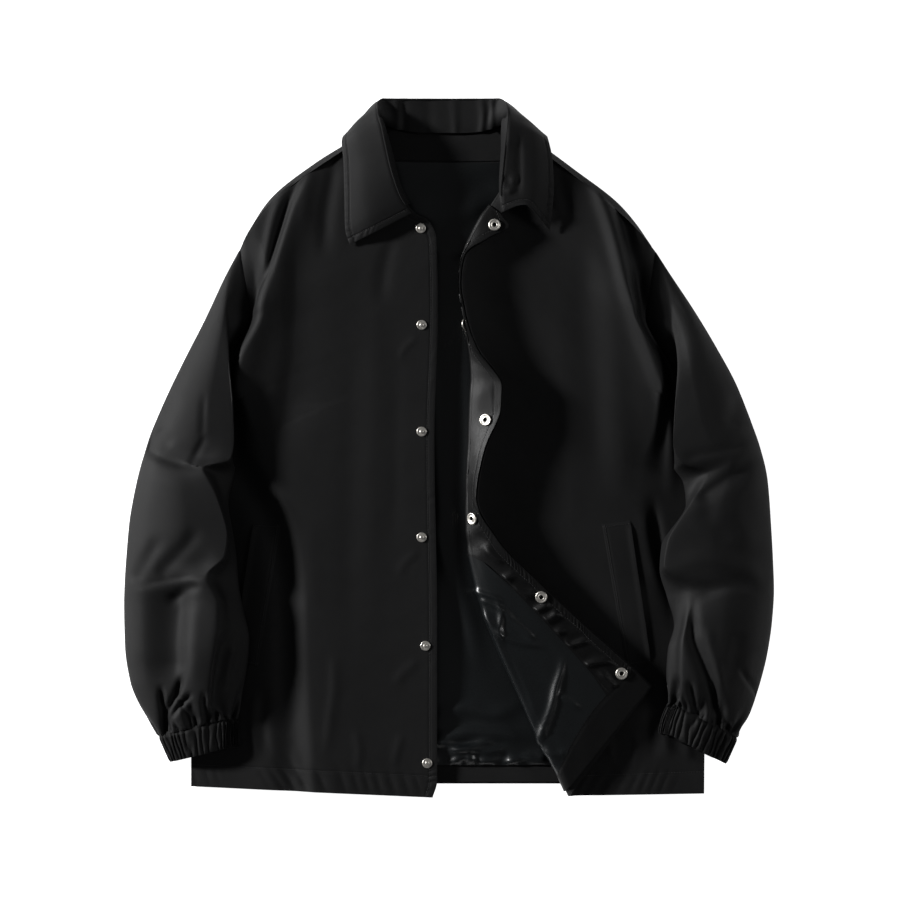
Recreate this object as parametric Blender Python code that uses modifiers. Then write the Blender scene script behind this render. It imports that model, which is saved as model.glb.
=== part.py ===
"""A lined coach jacket laid out flat, front up, with one front turned back.

Sizes are in millimetres, the origin is under the middle, +Y runs to the collar
and +Z is up from the surface. Every cloth piece is a thin wall: its outer face
is worked out from a short table of sections and Solidify gives the thickness.
"""
import math
from collections import namedtuple

import bmesh
import bpy
import numpy as np
from mathutils import Vector

# Driving dimensions
MM = 0.001
CLOTH = 1.2            # shell cloth
LINER = 1.0            # lining, facing and turned hems
GAP = 0.3              # between pieces at a seam
FLAP_GAP = 1.3         # under what lies on the curved, turned-back front
SEAM = GAP + 0.1       # seam gap along the cloth
ARM_SHARE = 0.45       # share of a front's side that is armhole
BACK_ARM = (0.50, 0.80)  # share of the back's side where the armhole starts and ends
STAND_NECK, STAND_ROLL = 3.5, 2.8  # the stand inside the neckline and inside the roll
SHOULDER_GAP = 2.2     # at the shoulder seam, on the outer face
SHOULDER_OUT = (0.68, 0.73)  # way out from the shoulder seam, across and up
BOW_RIGHT, BOW_LEFT = -14.0, 6.0  # outward curve of the shoulder seams
BOW_END = 0.14         # share of a front's length over which that curve dies out
BACK_CORNER = 2.5      # height of the back at the shoulder point, under the front
BACK_HEM_Y = -369.0
UNDERARM_Y = 36.0
ARM_CLEAR = 3.6        # extra gap of the back to the armhole near the shoulder point
RIM_Z = 6.0            # where the back rolls up to the shoulder seam
NECK_DIP = 10.0        # drop of the back neckline at its middle
NECK_LIFT = 3.4        # rise of the back over the collar below it
SIDE_REACH = 286.0     # the body's side from the middle
LAP_RISE, LAP_SLOPE = 4.2, 0.075  # sleeve over the side seam, and its rise further in
LAP_RUN = 18.0         # how far out from the side that rise starts
LAP_TOP, LAP_FADE = 54.0, 16.0  # the sleeve stays off the body below this Y
REST_SHARE = 0.66      # share of a sleeve's width that rests on the surface
CUFF_CLOTH = 1.6       # gathered knit
FACING_WIDTH = 44.0
FACING_TOP, LINING_TOP = 0.262, 0.822  # where they start down the turned front
FLAP_START = 1.12      # and where across it, past the fold
WELT_CLOTH = 1.5       # folded welt
FREE_END = 1.985       # where the facing stops short of the free edge
HEM_CLEAR = 0.004      # share of the length between the flap's lining and its hem
FACING_HOLD = 0.97     # the facing keeps its width from here down
STUD_RADIUS, STUD_HEIGHT = 5.4, 2.0
SOCKET_RADIUS, SOCKET_BORE, SOCKET_HEIGHT = 6.6, 2.4, 1.8
SOCKET_INSET = 15.0    # from the free edge
SOCKET_LIFT = 0.8      # over the curve of the facing
SNAP_STEPS = 14

# Sleeve rings from armhole to cuff: outer edge, height of the crown, inner ridge, under seam
Ring = namedtuple("Ring", "outer_x outer_y outer_z crown ridge_x ridge_y ridge_z inner_x inner_y inner_z")
SLEEVE_RIGHT = [
    Ring(-230, 218, 6, 12, -217, 143, 9, -274, 36, 2.6),
    Ring(-245, 190, 9, 24, -242, 130, 25, -278, 26, 4),
    Ring(-268, 141, 10, 31, -240, 91, 32, -272, 8, 9),
    Ring(-293, 92, 10, 34, -236, 47, 34, -257, -6, 12),
    Ring(-314, 48, 10, 36, -235, 9, 35, -244, -14, 14),
    Ring(-329, 12, 10, 37, -240, -12, 38, -235, -22, 14),
    Ring(-334, -4, 10, 37, -270, -21, 47, -237, -34, 14),
    Ring(-342, -33, 10, 44, -255, -52, 46, -242, -60, 14),
    Ring(-351, -81, 10, 44, -243, -94, 44, -236, -99, 14),
    Ring(-354, -114, 10, 43, -246, -117, 45, -233, -120, 14),
    Ring(-356, -143, 10, 40, -267, -141, 49, -231, -147, 14),
    Ring(-357, -172, 10, 40, -255, -170, 47, -226, -176, 14),
    Ring(-356, -217, 10, 41, -257, -208, 48, -219, -211, 14),
    Ring(-350, -257, 10, 38, -262, -247, 43, -223, -250, 13),
    Ring(-332, -297, 9, 29, -262, -281, 34, -229, -282, 12),
    Ring(-319, -316, 8, 24, -245, -298, 20, -231, -297, 11),
]
SLEEVE_LEFT = [
    Ring(227, 216, 6, 12, 216, 143, 9, 274, 36, 2.6),
    Ring(241, 194, 9, 25, 245, 130, 26, 278, 26, 4),
    Ring(270, 150, 10, 34, 250, 91, 33, 272, 8, 9),
    Ring(294, 110, 10, 38, 247, 47, 38, 258, -6, 12),
    Ring(316, 69, 10, 40, 245, 9, 40, 248, -14, 14),
    Ring(333, 26, 10, 40, 254, -16, 38, 247, -22, 14),
    Ring(342, 0, 10, 36, 284, -27, 33, 257, -38, 13),
    Ring(350, -35, 10, 41, 264, -60, 38, 260, -63, 9),
    Ring(354, -88, 10, 42, 239, -103, 40, 233, -107, 15),
    Ring(356, -125, 10, 41, 235, -130, 38, 231, -133, 15),
    Ring(357, -156, 10, 40, 268, -156, 33, 239, -163, 14),
    Ring(355, -189, 10, 42, 260, -189, 38, 247, -194, 12),
    Ring(350, -224, 10, 42, 256, -219, 40, 240, -222, 14),
    Ring(342, -257, 10, 39, 256, -252, 37, 238, -256, 13),
    Ring(331, -290, 9, 29, 255, -277, 29, 241, -280, 12),
    Ring(317, -318, 8, 24, 251, -284, 20, 239, -282, 11),
]
# Cuff rings: at the sleeve, and at the hand
CUFF_RIGHT = [
    Ring(-318.8, -316.7, 8, 24, -244.9, -298.7, 20, -230.9, -297.7, 11),
    Ring(-312, -332, 8, 23, -246, -316, 20, -231, -315, 9),
    Ring(-306, -345, 8, 22, -246, -330, 19, -230, -328, 9),
]
CUFF_LEFT = [
    Ring(316.8, -318.7, 8, 24, 250.8, -284.7, 20, 238.8, -282.7, 11),
    Ring(310, -334, 8, 23, 245, -301, 20, 233, -299, 9),
    Ring(304, -347, 8, 22, 242, -315, 19, 230, -313, 9),
]

# Sides of a front from shoulder to hem: side seam, armhole fold, level of the middle
Side = namedtuple("Side", "at x y z foot foot_z fold fold_z middle_z")
SIDES_RIGHT = [
    Side(0.00, -230, 218, 6, 0.06, 12, 0.16, 14, 15),
    Side(0.09, -228, 205, 9, 0.05, 12, 0.15, 17, 17),
    Side(0.18, -222, 180, 10, 0.05, 11, 0.16, 21, 18),
    Side(0.27, -217, 143, 9, 0.02, 9, 0.07, 24, 18),
    Side(0.36, -245, 90, 6, 0.03, 7, 0.08, 23, 18),
    Side(0.45, -274, 36, 2.8, 0.14, 6, 0.18, 20, 17),
    Side(0.52, -280, -12, 2.8, 0.17, 6, 0.26, 14, 16),
    Side(0.60, -283, -66, 2.8, 0.15, 5.8, 0.33, 13, 15),
    Side(0.80, -284, -215, 2.8, 0.15, 5.4, 0.34, 12.5, 14),
    Side(1.00, -284, -372, 2.8, 0.12, 4, 0.38, 8, 9),
]
SIDES_LEFT = [
    Side(0.00, 227, 216, 6, 0.06, 12, 0.16, 14, 15),
    Side(0.09, 225, 203, 9, 0.05, 12, 0.15, 17, 17),
    Side(0.18, 220, 180, 10, 0.05, 11, 0.16, 21, 17),
    Side(0.27, 216, 143, 9, 0.02, 9, 0.08, 24, 16),
    Side(0.36, 245, 90, 6, 0.03, 7, 0.09, 23, 15),
    Side(0.45, 274, 36, 2.8, 0.12, 6, 0.17, 20, 15),
    Side(0.52, 279, -12, 2.8, 0.15, 6, 0.21, 15, 14),
    Side(0.60, 281, -66, 2.8, 0.17, 6, 0.28, 11, 13),
    Side(0.80, 282, -215, 2.8, 0.18, 5.5, 0.32, 9, 11),
    Side(1.00, 281, -380, 2.8, 0.16, 4, 0.40, 7, 8),
]
# Neckline and front edge of the plain front
Edge = namedtuple("Edge", "at x y z")
EDGES_RIGHT = [
    Edge(0.00, -74, 357, 15),
    Edge(0.09, -66, 330, 17),
    Edge(0.18, -54, 284, 17),
    Edge(0.25, -36, 257, 17),
    Edge(0.28, -24, 251, 17),
    Edge(0.32, -14, 230, 17),
    Edge(0.45, -12, 148, 17),
    Edge(0.60, -16, 10, 16),
    Edge(0.80, -13, -190, 15),
    Edge(0.97, -13, -365, 11),
    Edge(1.00, -18, -384, 10),
]
# Turned-back front: its fold, how far before it the cloth leaves the level, and its free edge
Lapel = namedtuple("Lapel", "at lead base_z roll fold_x fold_y fold_z edge_x edge_y edge_z")
LAPELS = [
    Lapel(0.00, 30, 15, 1.5, 62, 356, 15, 59, 358, 17),
    Lapel(0.09, 40, 16, 1.5, 62, 330, 18, 60, 331, 21),
    Lapel(0.18, 45, 16, 1.5, 59, 289, 21, 58, 290, 25),
    Lapel(0.25, 55, 16, 1.5, 48, 268, 24, 58, 258, 28),
    Lapel(0.31, 65, 16, 2.0, 35, 251, 25, 66, 242, 29),
    Lapel(0.35, 70, 16, 2.0, 27, 235, 26, 42, 228, 32),
    Lapel(0.40, 80, 16, 2.0, 17, 209, 29, 19, 209, 36),
    Lapel(0.45, 85, 15, 2.0, 14, 181, 30, 15, 180, 38),
    Lapel(0.50, 85, 15, 2.0, 18, 150, 30, 20, 148, 38),
    Lapel(0.55, 80, 15, 2.0, 23, 119, 28, 31, 113, 39),
    Lapel(0.60, 70, 14, 2.5, 26, 77, 25, 59, 68, 40),
    Lapel(0.64, 65, 14, 2.5, 24, 42, 24, 58, 42, 40),
    Lapel(0.69, 60, 14, 2.5, 23, -2, 23, 41, -2, 40),
    Lapel(0.74, 50, 13, 3.0, 21, -52, 22, 32, -54, 39),
    Lapel(0.79, 38, 13, 4.0, 22, -101, 20, 54, -99, 36),
    Lapel(0.84, 28, 12, 5.0, 30, -147, 18.5, 101, -148, 31),
    Lapel(0.89, 20, 12, 5.0, 47, -200, 18, 151, -195, 27),
    Lapel(0.95, 16, 11, 5.0, 82, -277, 17, 200, -239, 22),
    Lapel(1.00, 14, 9, 4.5, 132, -382, 14.5, 223, -261, 19),
]
# Shoulder line of the back, between shoulder point and neck
Shoulder = namedtuple("Shoulder", "at left_x left_y right_x right_y")
SHOULDERS = [
    Shoulder(0.0, -231, 219, 228, 217),
    Shoulder(0.3, -197, 273, 187, 268),
    Shoulder(0.6, -147, 313, 135, 308),
    Shoulder(0.85, -103, 341, 92, 340),
    Shoulder(1.0, -78, 361, 66, 360),
]
# Collar sections from the front end of one leaf round the back to the other
Collar = namedtuple("Collar", "at roll_x roll_y roll_z mid_x mid_y mid_z edge_x edge_y edge_z")
COLLAR = [
    Collar(0.00, -41, 257, 27, -76, 239, 27, -109, 223, 21.5),
    Collar(0.08, -53, 275, 32, -85, 257, 30, -114, 241, 21.5),
    Collar(0.17, -63, 303, 36, -92, 293, 31, -115, 284, 22),
    Collar(0.26, -70, 333, 37, -95, 325, 31, -116, 316, 22),
    Collar(0.31, -74, 352, 35, -101, 346, 28, -118, 335, 20),
    Collar(0.345, -78, 366, 30, -101, 357, 20, -116, 343, 9),
    Collar(0.38, -79, 377, 21, -94, 366, 10, -104, 343, 0.6),
    Collar(0.42, -72, 384, 13, -77, 379, 4, -78, 337, 0),
    Collar(0.50, -9, 384, 9, -9, 379, 2, -9, 330, 0),
    Collar(0.58, 54, 384, 13, 59, 379, 4, 60, 337, 0),
    Collar(0.62, 62, 379, 21, 80, 366, 10, 92, 343, 0.6),
    Collar(0.655, 65, 367, 30, 89, 357, 20, 107, 343, 9),
    Collar(0.69, 64, 352, 36, 90, 347, 29, 110, 335, 20),
    Collar(0.74, 62, 334, 38, 90, 326, 33, 114, 313, 22),
    Collar(0.83, 59, 303, 38, 88, 293, 35, 115, 284, 22),
    Collar(0.92, 57, 278, 37, 84, 270, 36, 113, 258, 22),
    Collar(1.00, 58, 258, 35, 82, 266, 37, 111, 238, 21.5),
]
# Pocket welts: corners from the top, inner side first
Welt = namedtuple("Welt", "top_in_x top_in_y top_out_x top_out_y low_in_x low_in_y low_out_x low_out_y")
WELT_RIGHT = Welt(-185, -84, -215, -82, -210, -240, -238, -236)
WELT_LEFT = Welt(168, -84, 199, -80, 195, -241, 222, -236)
# Snaps: where along each front they sit
STUDS = [(-31, 241), (-30, 135), (-30, 18), (-30, -98), (-26, -217), (-24, -346)]
SOCKETS = [0.318, 0.524, 0.654, 0.765, 0.855, 0.955]


def curve(knots, values, at):
    """Smooth curve through a row of values, with no overshoot."""
    knots = np.asarray(knots, float)
    values = np.asarray(values, float)
    step = np.diff(knots)
    rise = np.diff(values, axis=0) / step[:, None]
    slope = np.zeros_like(values)
    slope[0], slope[-1] = rise[0], rise[-1]
    for k in range(1, len(knots) - 1):
        a, b = rise[k - 1], rise[k]
        wa, wb = 2 * step[k] + step[k - 1], step[k] + 2 * step[k - 1]
        same = a * b > 1e-12
        slope[k][same] = (wa + wb) / (wa / a[same] + wb / b[same])
    k = int(np.clip(np.searchsorted(knots, at) - 1, 0, len(step) - 1))
    h = step[k]
    t = (at - knots[k]) / h
    return ((2 * t ** 3 - 3 * t ** 2 + 1) * values[k] + (t ** 3 - 2 * t ** 2 + t) * h * slope[k]
            + (3 * t ** 2 - 2 * t ** 3) * values[k + 1] + (t ** 3 - t ** 2) * h * slope[k + 1])


def row_at(table, at):
    """One section of a table, between its rows."""
    if "at" in table[0]._fields:
        knots = [row.at for row in table]
    else:
        knots = np.linspace(0.0, 1.0, len(table))
    return type(table[0])(*curve(knots, table, at))


def mix(a, b, t):
    return np.asarray(a, float) * (1 - t) + np.asarray(b, float) * t


def ease(t):
    t = min(max(t, 0.0), 1.0)
    return t * t * (3 - 2 * t)


def unit(vector):
    return vector / max(np.linalg.norm(vector), 1e-9)


def over_body(point):
    """Height at which a sleeve clears the side of the body it lies on."""
    inside = SIDE_REACH - abs(point[0])
    rise = LAP_RISE * ease((inside + LAP_RUN) / LAP_RUN) + LAP_SLOPE * max(inside, 0.0)
    return rise * ease((LAP_TOP - point[1]) / LAP_FADE)


def tube(rings, armhole=False):
    """Flattened tube: along 0..1, around 0..8 from the under seam by the outer edge and back."""
    def surface(around, along):
        r = row_at(rings, along)
        inner = np.array([r.inner_x, r.inner_y, r.inner_z])
        outer = np.array([r.outer_x, r.outer_y, r.outer_z])
        ridge = np.array([r.ridge_x, r.ridge_y, r.ridge_z])
        loop = [inner, mix(inner, outer, REST_SHARE) * (1, 1, 0), mix(inner, outer, 0.95) * (1, 1, 0),
                outer, mix(outer, ridge, 0.2), mix(outer, ridge, 0.6), ridge, mix(ridge, inner, 0.5)]
        loop[4][2] = outer[2] + 0.62 * (r.crown - outer[2])
        loop[5][2] = r.crown
        loop = loop[6:] + loop + loop[:3]
        point = curve(range(-2, 11), loop, around)
        if not armhole or along > 0:
            point[2] = max(point[2], over_body(point))
        return point
    return surface


sleeve_right = tube(SLEEVE_RIGHT, armhole=True)
sleeve_left = tube(SLEEVE_LEFT, armhole=True)


def side_of(table, sleeve, at):
    """Side edge of a front: the armhole from the sleeve's first ring, then the side seam."""
    row = row_at(table, at)
    if at < ARM_SHARE:
        return row, sleeve(3 + 5 * at / ARM_SHARE, 0.0)
    return row, np.array([row.x, row.y, row.z])


def bow(most, u, v):
    """Outward curve of a front's shoulder seam, fullest a third of the way in."""
    lift = abs(most) * 6.75 * u * (1 - u) ** 2 * (1 - ease(v / BOW_END))
    return lift * np.array([math.copysign(SHOULDER_OUT[0], most), SHOULDER_OUT[1], 0.0])


def front_right(u, v):
    """Outer face of the plain front: u from side to front edge, v from shoulder to hem."""
    row, side = side_of(SIDES_RIGHT, sleeve_right, v)
    e = row_at(EDGES_RIGHT, v)
    edge = np.array([e.x, e.y, e.z])
    side = side + SEAM * unit((edge - side) * (1, 1, 0))
    knots = [0.0, row.foot, row.fold, 0.62, 1.0]
    heights = [[side[2]], [row.foot_z], [row.fold_z], [row.middle_z], [edge[2]]]
    point = mix(side, edge, u) + bow(BOW_RIGHT, u, v)
    point[2] = curve(knots, heights, u)[0]
    return point


def front_left(u, v):
    """Outer face of the turned front: u 0..1 from side to fold, 1..2 on to the free edge."""
    row, side = side_of(SIDES_LEFT, sleeve_left, v)
    p = row_at(LAPELS, v)
    fold = np.array([p.fold_x, p.fold_y, p.fold_z])
    edge = np.array([p.edge_x, p.edge_y, p.edge_z])
    side = side + SEAM * unit((fold - side) * (1, 1, 0))
    span = np.linalg.norm((fold - side)[:2])
    flap = max(np.linalg.norm(edge - fold), 1e-6)
    lead = 1 - p.lead / span
    near = 1 - 1.2 * p.roll / span
    low = fold[2] - 0.9 * p.roll
    after = min(1.2 * p.roll / flap, 0.45)
    knots = [0.0, row.foot, row.fold, 0.5 * (row.fold + lead), lead, near, 1.0, 1 + after, 2.0]
    shares = [0.0, row.foot, row.fold, 0.5 * (row.fold + lead), lead, near, 1.0]
    points = [mix(side, fold, share) for share in shares]
    for point, z in zip(points, (side[2], row.foot_z, row.fold_z, row.middle_z, p.base_z, low, fold[2])):
        point[2] = z
    turn = mix(fold, edge, after)
    turn[2] = max(turn[2], fold[2] + 0.9 * p.roll)
    points += [turn, edge]
    return curve(knots, points, u) + bow(BOW_LEFT, min(u, 1.0), v)


def flap_width(v):
    p = row_at(LAPELS, v)
    return math.dist((p.fold_x, p.fold_y, p.fold_z), (p.edge_x, p.edge_y, p.edge_z))


def back(u, v):
    """Outer (under) face of the back: u from one side to the other, v from hem to neck."""
    start, stop = BACK_ARM
    ends = []
    for sign, sides, sleeve, front in ((-1, SIDES_RIGHT, sleeve_right, front_right),
                                       (1, SIDES_LEFT, sleeve_left, front_left)):
        inward = np.array([-sign, 0.0, 0.0])
        if v <= start:
            row = row_at(sides, 1 - (1 - ARM_SHARE) * v / start)
            edge = np.array([row.x, mix(BACK_HEM_Y, UNDERARM_Y, v / start), 0.0])
        elif v <= stop:
            edge = sleeve(3 * (v - start) / (stop - start), 0.0)
        if v <= stop:
            edge = edge + (SEAM + ARM_CLEAR * ease((v - stop + 0.14) / 0.12)) * inward
            bend = edge + (1.5 + 5 * ease((stop - v) / 0.08)) * inward
            edge[2] = min(edge[2], BACK_CORNER)
            bend[2] = 0.4 * edge[2]
        if v > stop:
            share = (v - stop) / (1 - stop)
            s = row_at(SHOULDERS, share)
            seam = front(share, 0.0)
            outward = np.array([SHOULDER_OUT[0] * sign, SHOULDER_OUT[1], 0.0])
            edge = seam + (SHOULDER_GAP + 1.5 * ease(1 - share / 0.2)) * outward
            bend = np.array([s.left_x, s.left_y, RIM_Z] if sign < 0 else [s.right_x, s.right_y, RIM_Z])
        under = bend + np.array([-sign * 9.0, -7.0 * ease((v - stop) / 0.06), 0.0])
        under[2] = 0.0
        ends.append((edge, bend, under))
    (a, b, c), (f, e, d) = ends
    middle = mix(c, d, 0.5)
    point = curve([0.0, 0.04, 0.08, 0.5, 0.92, 0.96, 1.0], [a, b, c, middle, d, e, f], u)
    across = min(abs(2 * u - 1) / 0.84, 1.0)
    point[1] -= NECK_DIP * (1 - across ** 4) * ease((v - 0.8) / 0.2)
    point[2] += NECK_LIFT * ease((point[1] - 285) / 30)
    return point


def collar_leaf(s, w):
    c = row_at(COLLAR, s)
    roll = (c.roll_x, c.roll_y, c.roll_z)
    mid = (c.mid_x, c.mid_y, c.mid_z)
    edge = (c.edge_x, c.edge_y, c.edge_z)
    return curve([0.0, 0.5, 1.0], [roll, mid, edge], w)


def neckline(s):
    """Neck edge of the sewn body, in the collar's measure."""
    if s < 1 / 3:
        return front_right(1.0, 0.25 * (1 - 3 * s))
    if s > 2 / 3:
        return front_left(2.0, 0.25 * (3 * s - 2))
    return back(3 * s - 1, 1.0)


def collar_stand(s, w):
    """Band between neckline and roll, held off where the shoulder seams come in."""
    lift = 0.2 * sum(math.exp(-((s - at) / 0.05) ** 2) for at in (1 / 3, 2 / 3))
    return mix(neckline(s), collar_leaf(s, 0.0), w + lift * (1 - w))


def stand_face(s, w):
    """The band moved in from neckline and roll."""
    return collar_stand(s, w) + mix(STAND_NECK, STAND_ROLL, w) * normal(collar_stand, s, w)


def normal(surface, u, v, step=0.004):
    du = surface(u + step, v) - surface(u - step, v)
    dv = surface(u, v + step) - surface(u, v - step)
    return unit(np.cross(du, dv))


def moved(surface, distance):
    """A surface lying on another one."""
    return lambda u, v: surface(u, v) + distance * normal(surface, u, v)


def part_of(surface, left, right, low, high):
    """A four-sided piece of a surface; its sides may run along functions of v."""
    def piece(u, v):
        at = low + (high - low) * v
        a, b = left(at), right(at)
        return surface(a + (b - a) * u, at)
    return piece


inner_side = moved(front_left, -(CLOTH + FLAP_GAP + LINER))
hem_side = moved(front_left, -(CLOTH + 2 * GAP + LINER))


def hem_line(u):
    return 1 - (0.012 + 0.028 * min(max(u - 1, 0.0), 1.0))


def facing_line(v):
    return max(2 - FACING_WIDTH / flap_width(v), FLAP_START)


def facing(a, v):
    """Strip along the free edge; its last line follows the turned hem."""
    start = facing_line(min(v, FACING_HOLD))
    u = start + (FREE_END - start) * a
    return inner_side(u, min(v, hem_line(u) - HEM_CLEAR))


def flap_lining(a, v):
    stop = facing_line(min(v, FACING_HOLD)) - 2 * SEAM / flap_width(v)
    u = FLAP_START + (stop - FLAP_START) * a
    return inner_side(u, min(v, hem_line(u) - HEM_CLEAR))


def flap_hem(a, b):
    u = FLAP_START + (FREE_END - FLAP_START) * a
    return hem_side(u, hem_line(u) + (0.997 - hem_line(u)) * b)


def cloth_material(name, colour, rough):
    material = bpy.data.materials.new(name)
    material.use_nodes = True
    shader = material.node_tree.nodes["Principled BSDF"]
    shader.inputs["Base Color"].default_value = (*colour, 1.0)
    shader.inputs["Roughness"].default_value = rough
    return material


def keep(name, mesh, material):
    mesh.materials.append(material)
    thing = bpy.data.objects.new(name, mesh)
    jacket.objects.link(thing)
    return thing


def sheet(name, surface, us, vs, thickness, material, flip=False, closed=False):
    """A cloth piece: a grid laid on the surface, then thickened inward."""
    bm = bmesh.new()
    bmesh.ops.create_grid(bm, x_segments=len(us) - 1, y_segments=len(vs) - 1, size=0.5)
    for vert in bm.verts:
        u = us[round((vert.co.x + 0.5) * (len(us) - 1))]
        v = vs[round((vert.co.y + 0.5) * (len(vs) - 1))]
        vert.co = surface(u, v) * MM
    if closed:
        bmesh.ops.remove_doubles(bm, verts=bm.verts, dist=0.00001)
    if flip:
        bmesh.ops.reverse_faces(bm, faces=bm.faces)
    mesh = bpy.data.meshes.new(name)
    bm.to_mesh(mesh)
    bm.free()
    thing = keep(name, mesh, material)
    solid = thing.modifiers.new("thickness", "SOLIDIFY")
    solid.thickness = thickness * MM
    solid.offset = -1.0
    return thing


def turned(name, profile, place, facing, material):
    """A turned metal part: a profile of (radius, height), outer side downward, spun about its axis."""
    mesh = bpy.data.meshes.new(name)
    edges = [(k, k + 1) for k in range(len(profile) - 1)]
    mesh.from_pydata([(radius * MM, 0.0, height * MM) for radius, height in profile], edges, [])
    thing = keep(name, mesh, material)
    spin = thing.modifiers.new("spin", "SCREW")
    spin.steps = SNAP_STEPS
    spin.render_steps = SNAP_STEPS
    spin.use_merge_vertices = True
    spin.merge_threshold = 0.0001
    thing.location = place * MM
    thing.rotation_euler = Vector(facing).to_track_quat("Z", "Y").to_euler()


def find(surface, x, y, u, v):
    """Where on a front a place seen from above lies."""
    for _ in range(30):
        here = surface(u, v)
        du = (surface(u + 0.002, v) - here) / 0.002
        dv = (surface(u, v + 0.002) - here) / 0.002
        turn = np.array([[du[0], dv[0]], [du[1], dv[1]]])
        change = np.linalg.solve(turn, np.array([x, y]) - here[:2])
        u = min(max(u + 0.8 * change[0], 0.01), 0.99)
        v = min(max(v + 0.8 * change[1], 0.01), 0.99)
    return u, v


def spread(*pieces):
    """Grid lines: (start, stop, count) runs joined end to end."""
    lines = [pieces[0][0]]
    for start, stop, count in pieces:
        lines += [start + (stop - start) * (k + 1) / count for k in range(count)]
    return lines


# Start from an empty file
for thing in list(bpy.data.objects):
    bpy.data.objects.remove(thing, do_unlink=True)
jacket = bpy.data.collections.new("coach_jacket")
bpy.context.scene.collection.children.link(jacket)
shell = cloth_material("black_nylon_shell", (0.018, 0.018, 0.02), 0.6)
satin = cloth_material("black_satin_lining", (0.01, 0.011, 0.012), 0.3)
knit = cloth_material("black_elastic_cuff", (0.015, 0.015, 0.016), 0.8)
metal = cloth_material("nickel_snap", (0.75, 0.74, 0.72), 0.3)
metal.node_tree.nodes["Principled BSDF"].inputs["Metallic"].default_value = 1.0

# Back, its lining, neck facing and turned hem
arm_lines = spread((0.0, ARM_SHARE, 12))
back_u = spread((0.0, 0.08, 3), (0.08, 0.92, 6), (0.92, 1.0, 3))
back_v = spread((0.0, BACK_ARM[0], 5), (*BACK_ARM, 8), (BACK_ARM[1], 0.825, 2), (0.825, 1.0, 7))
sheet("back_panel", back, back_u, back_v, CLOTH, shell, flip=True)
inside = moved(back, CLOTH + GAP + LINER)
lining = part_of(inside, lambda v: 0.17, lambda v: 0.83, 0.024, 0.952)
sheet("back_lining", lining, spread((0, 1, 6)), spread((0, 1, 12)), LINER, satin)
neck = part_of(inside, lambda v: 0.12, lambda v: 0.88, 0.955, 0.996)
sheet("back_neck_facing", neck, spread((0, 1, 8)), spread((0, 1, 2)), LINER, shell)
hem = part_of(inside, lambda v: 0.17, lambda v: 0.83, 0.001, 0.022)
sheet("back_hem", hem, spread((0, 1, 8)), [0, 1], LINER, shell)

# Fronts
front_v = arm_lines + spread((ARM_SHARE, 1.0, 10))[1:]
front_u = spread((0, 0.3, 7), (0.3, 1.0, 5))
sheet("front_right", front_right, front_u, front_v, CLOTH, shell, flip=True)
lapel_v = arm_lines + spread((ARM_SHARE, 0.79, 10), (0.79, 0.87, 4), (0.87, 1.0, 4))[1:]
lapel_u = spread((0, 0.32, 7), (0.32, 0.94, 4), (0.94, 1, 2), (1, FLAP_START, 2), (FLAP_START, 2, 3))
sheet("front_left", front_left, lapel_u, lapel_v, CLOTH, shell)

# Sleeves and cuffs
around = spread((0.0, 3.0, 8), (3.0, 8.0, 12))
sleeve_v = spread((0, 1, len(SLEEVE_RIGHT) - 1))
cuff_v = spread((0, 1, len(CUFF_RIGHT) - 1))
sheet("sleeve_right", sleeve_right, around, sleeve_v, CLOTH, shell, flip=True, closed=True)
sheet("sleeve_left", sleeve_left, around, sleeve_v, CLOTH, shell, closed=True)
sheet("cuff_right", tube(CUFF_RIGHT), around, cuff_v, CUFF_CLOTH, knit, flip=True, closed=True)
sheet("cuff_left", tube(CUFF_LEFT), around, cuff_v, CUFF_CLOTH, knit, closed=True)

# Collar
sheet("collar_leaf", collar_leaf, spread((0.0, 1.0, 24)), spread((0, 1, 5)), CLOTH, shell)
sheet("collar_stand", stand_face, spread((0.04, 0.93, 24)), [0.08, 0.55, 0.98], CLOTH, shell)

# Facing, lining and turned hem that show on the turned-back front
facing_v = [FACING_TOP] + [v for v in lapel_v if FACING_TOP + 0.01 < v < 0.94] + [1.0]
lining_v = [LINING_TOP] + [v for v in lapel_v if LINING_TOP + 0.01 < v < 0.94] + [1.0]
sheet("front_left_facing", facing, spread((0, 1, 3)), facing_v, LINER, shell, flip=True)
sheet("front_left_lining", flap_lining, spread((0, 1, 4)), lining_v, LINER, satin, flip=True)
sheet("front_left_hem", flap_hem, spread((0, 1, 4)), [0, 1], LINER, shell, flip=True)

# Pocket welts
for name, front, welt, sign in (("pocket_welt_right", front_right, WELT_RIGHT, -1),
                                ("pocket_welt_left", front_left, WELT_LEFT, 1)):
    raised = moved(front, sign * (GAP + WELT_CLOTH))

    def welt_face(a, b, front=front, raised=raised, w=welt):
        top = mix((w.top_in_x, w.top_in_y), (w.top_out_x, w.top_out_y), a)
        low = mix((w.low_in_x, w.low_in_y), (w.low_out_x, w.low_out_y), a)
        x, y = mix(top, low, b)
        return raised(*find(front, x, y, 0.3, 0.7))

    sheet(name, welt_face, [0, 0.5, 1], spread((0, 1, 6)), WELT_CLOTH, shell, flip=sign > 0)

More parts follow.
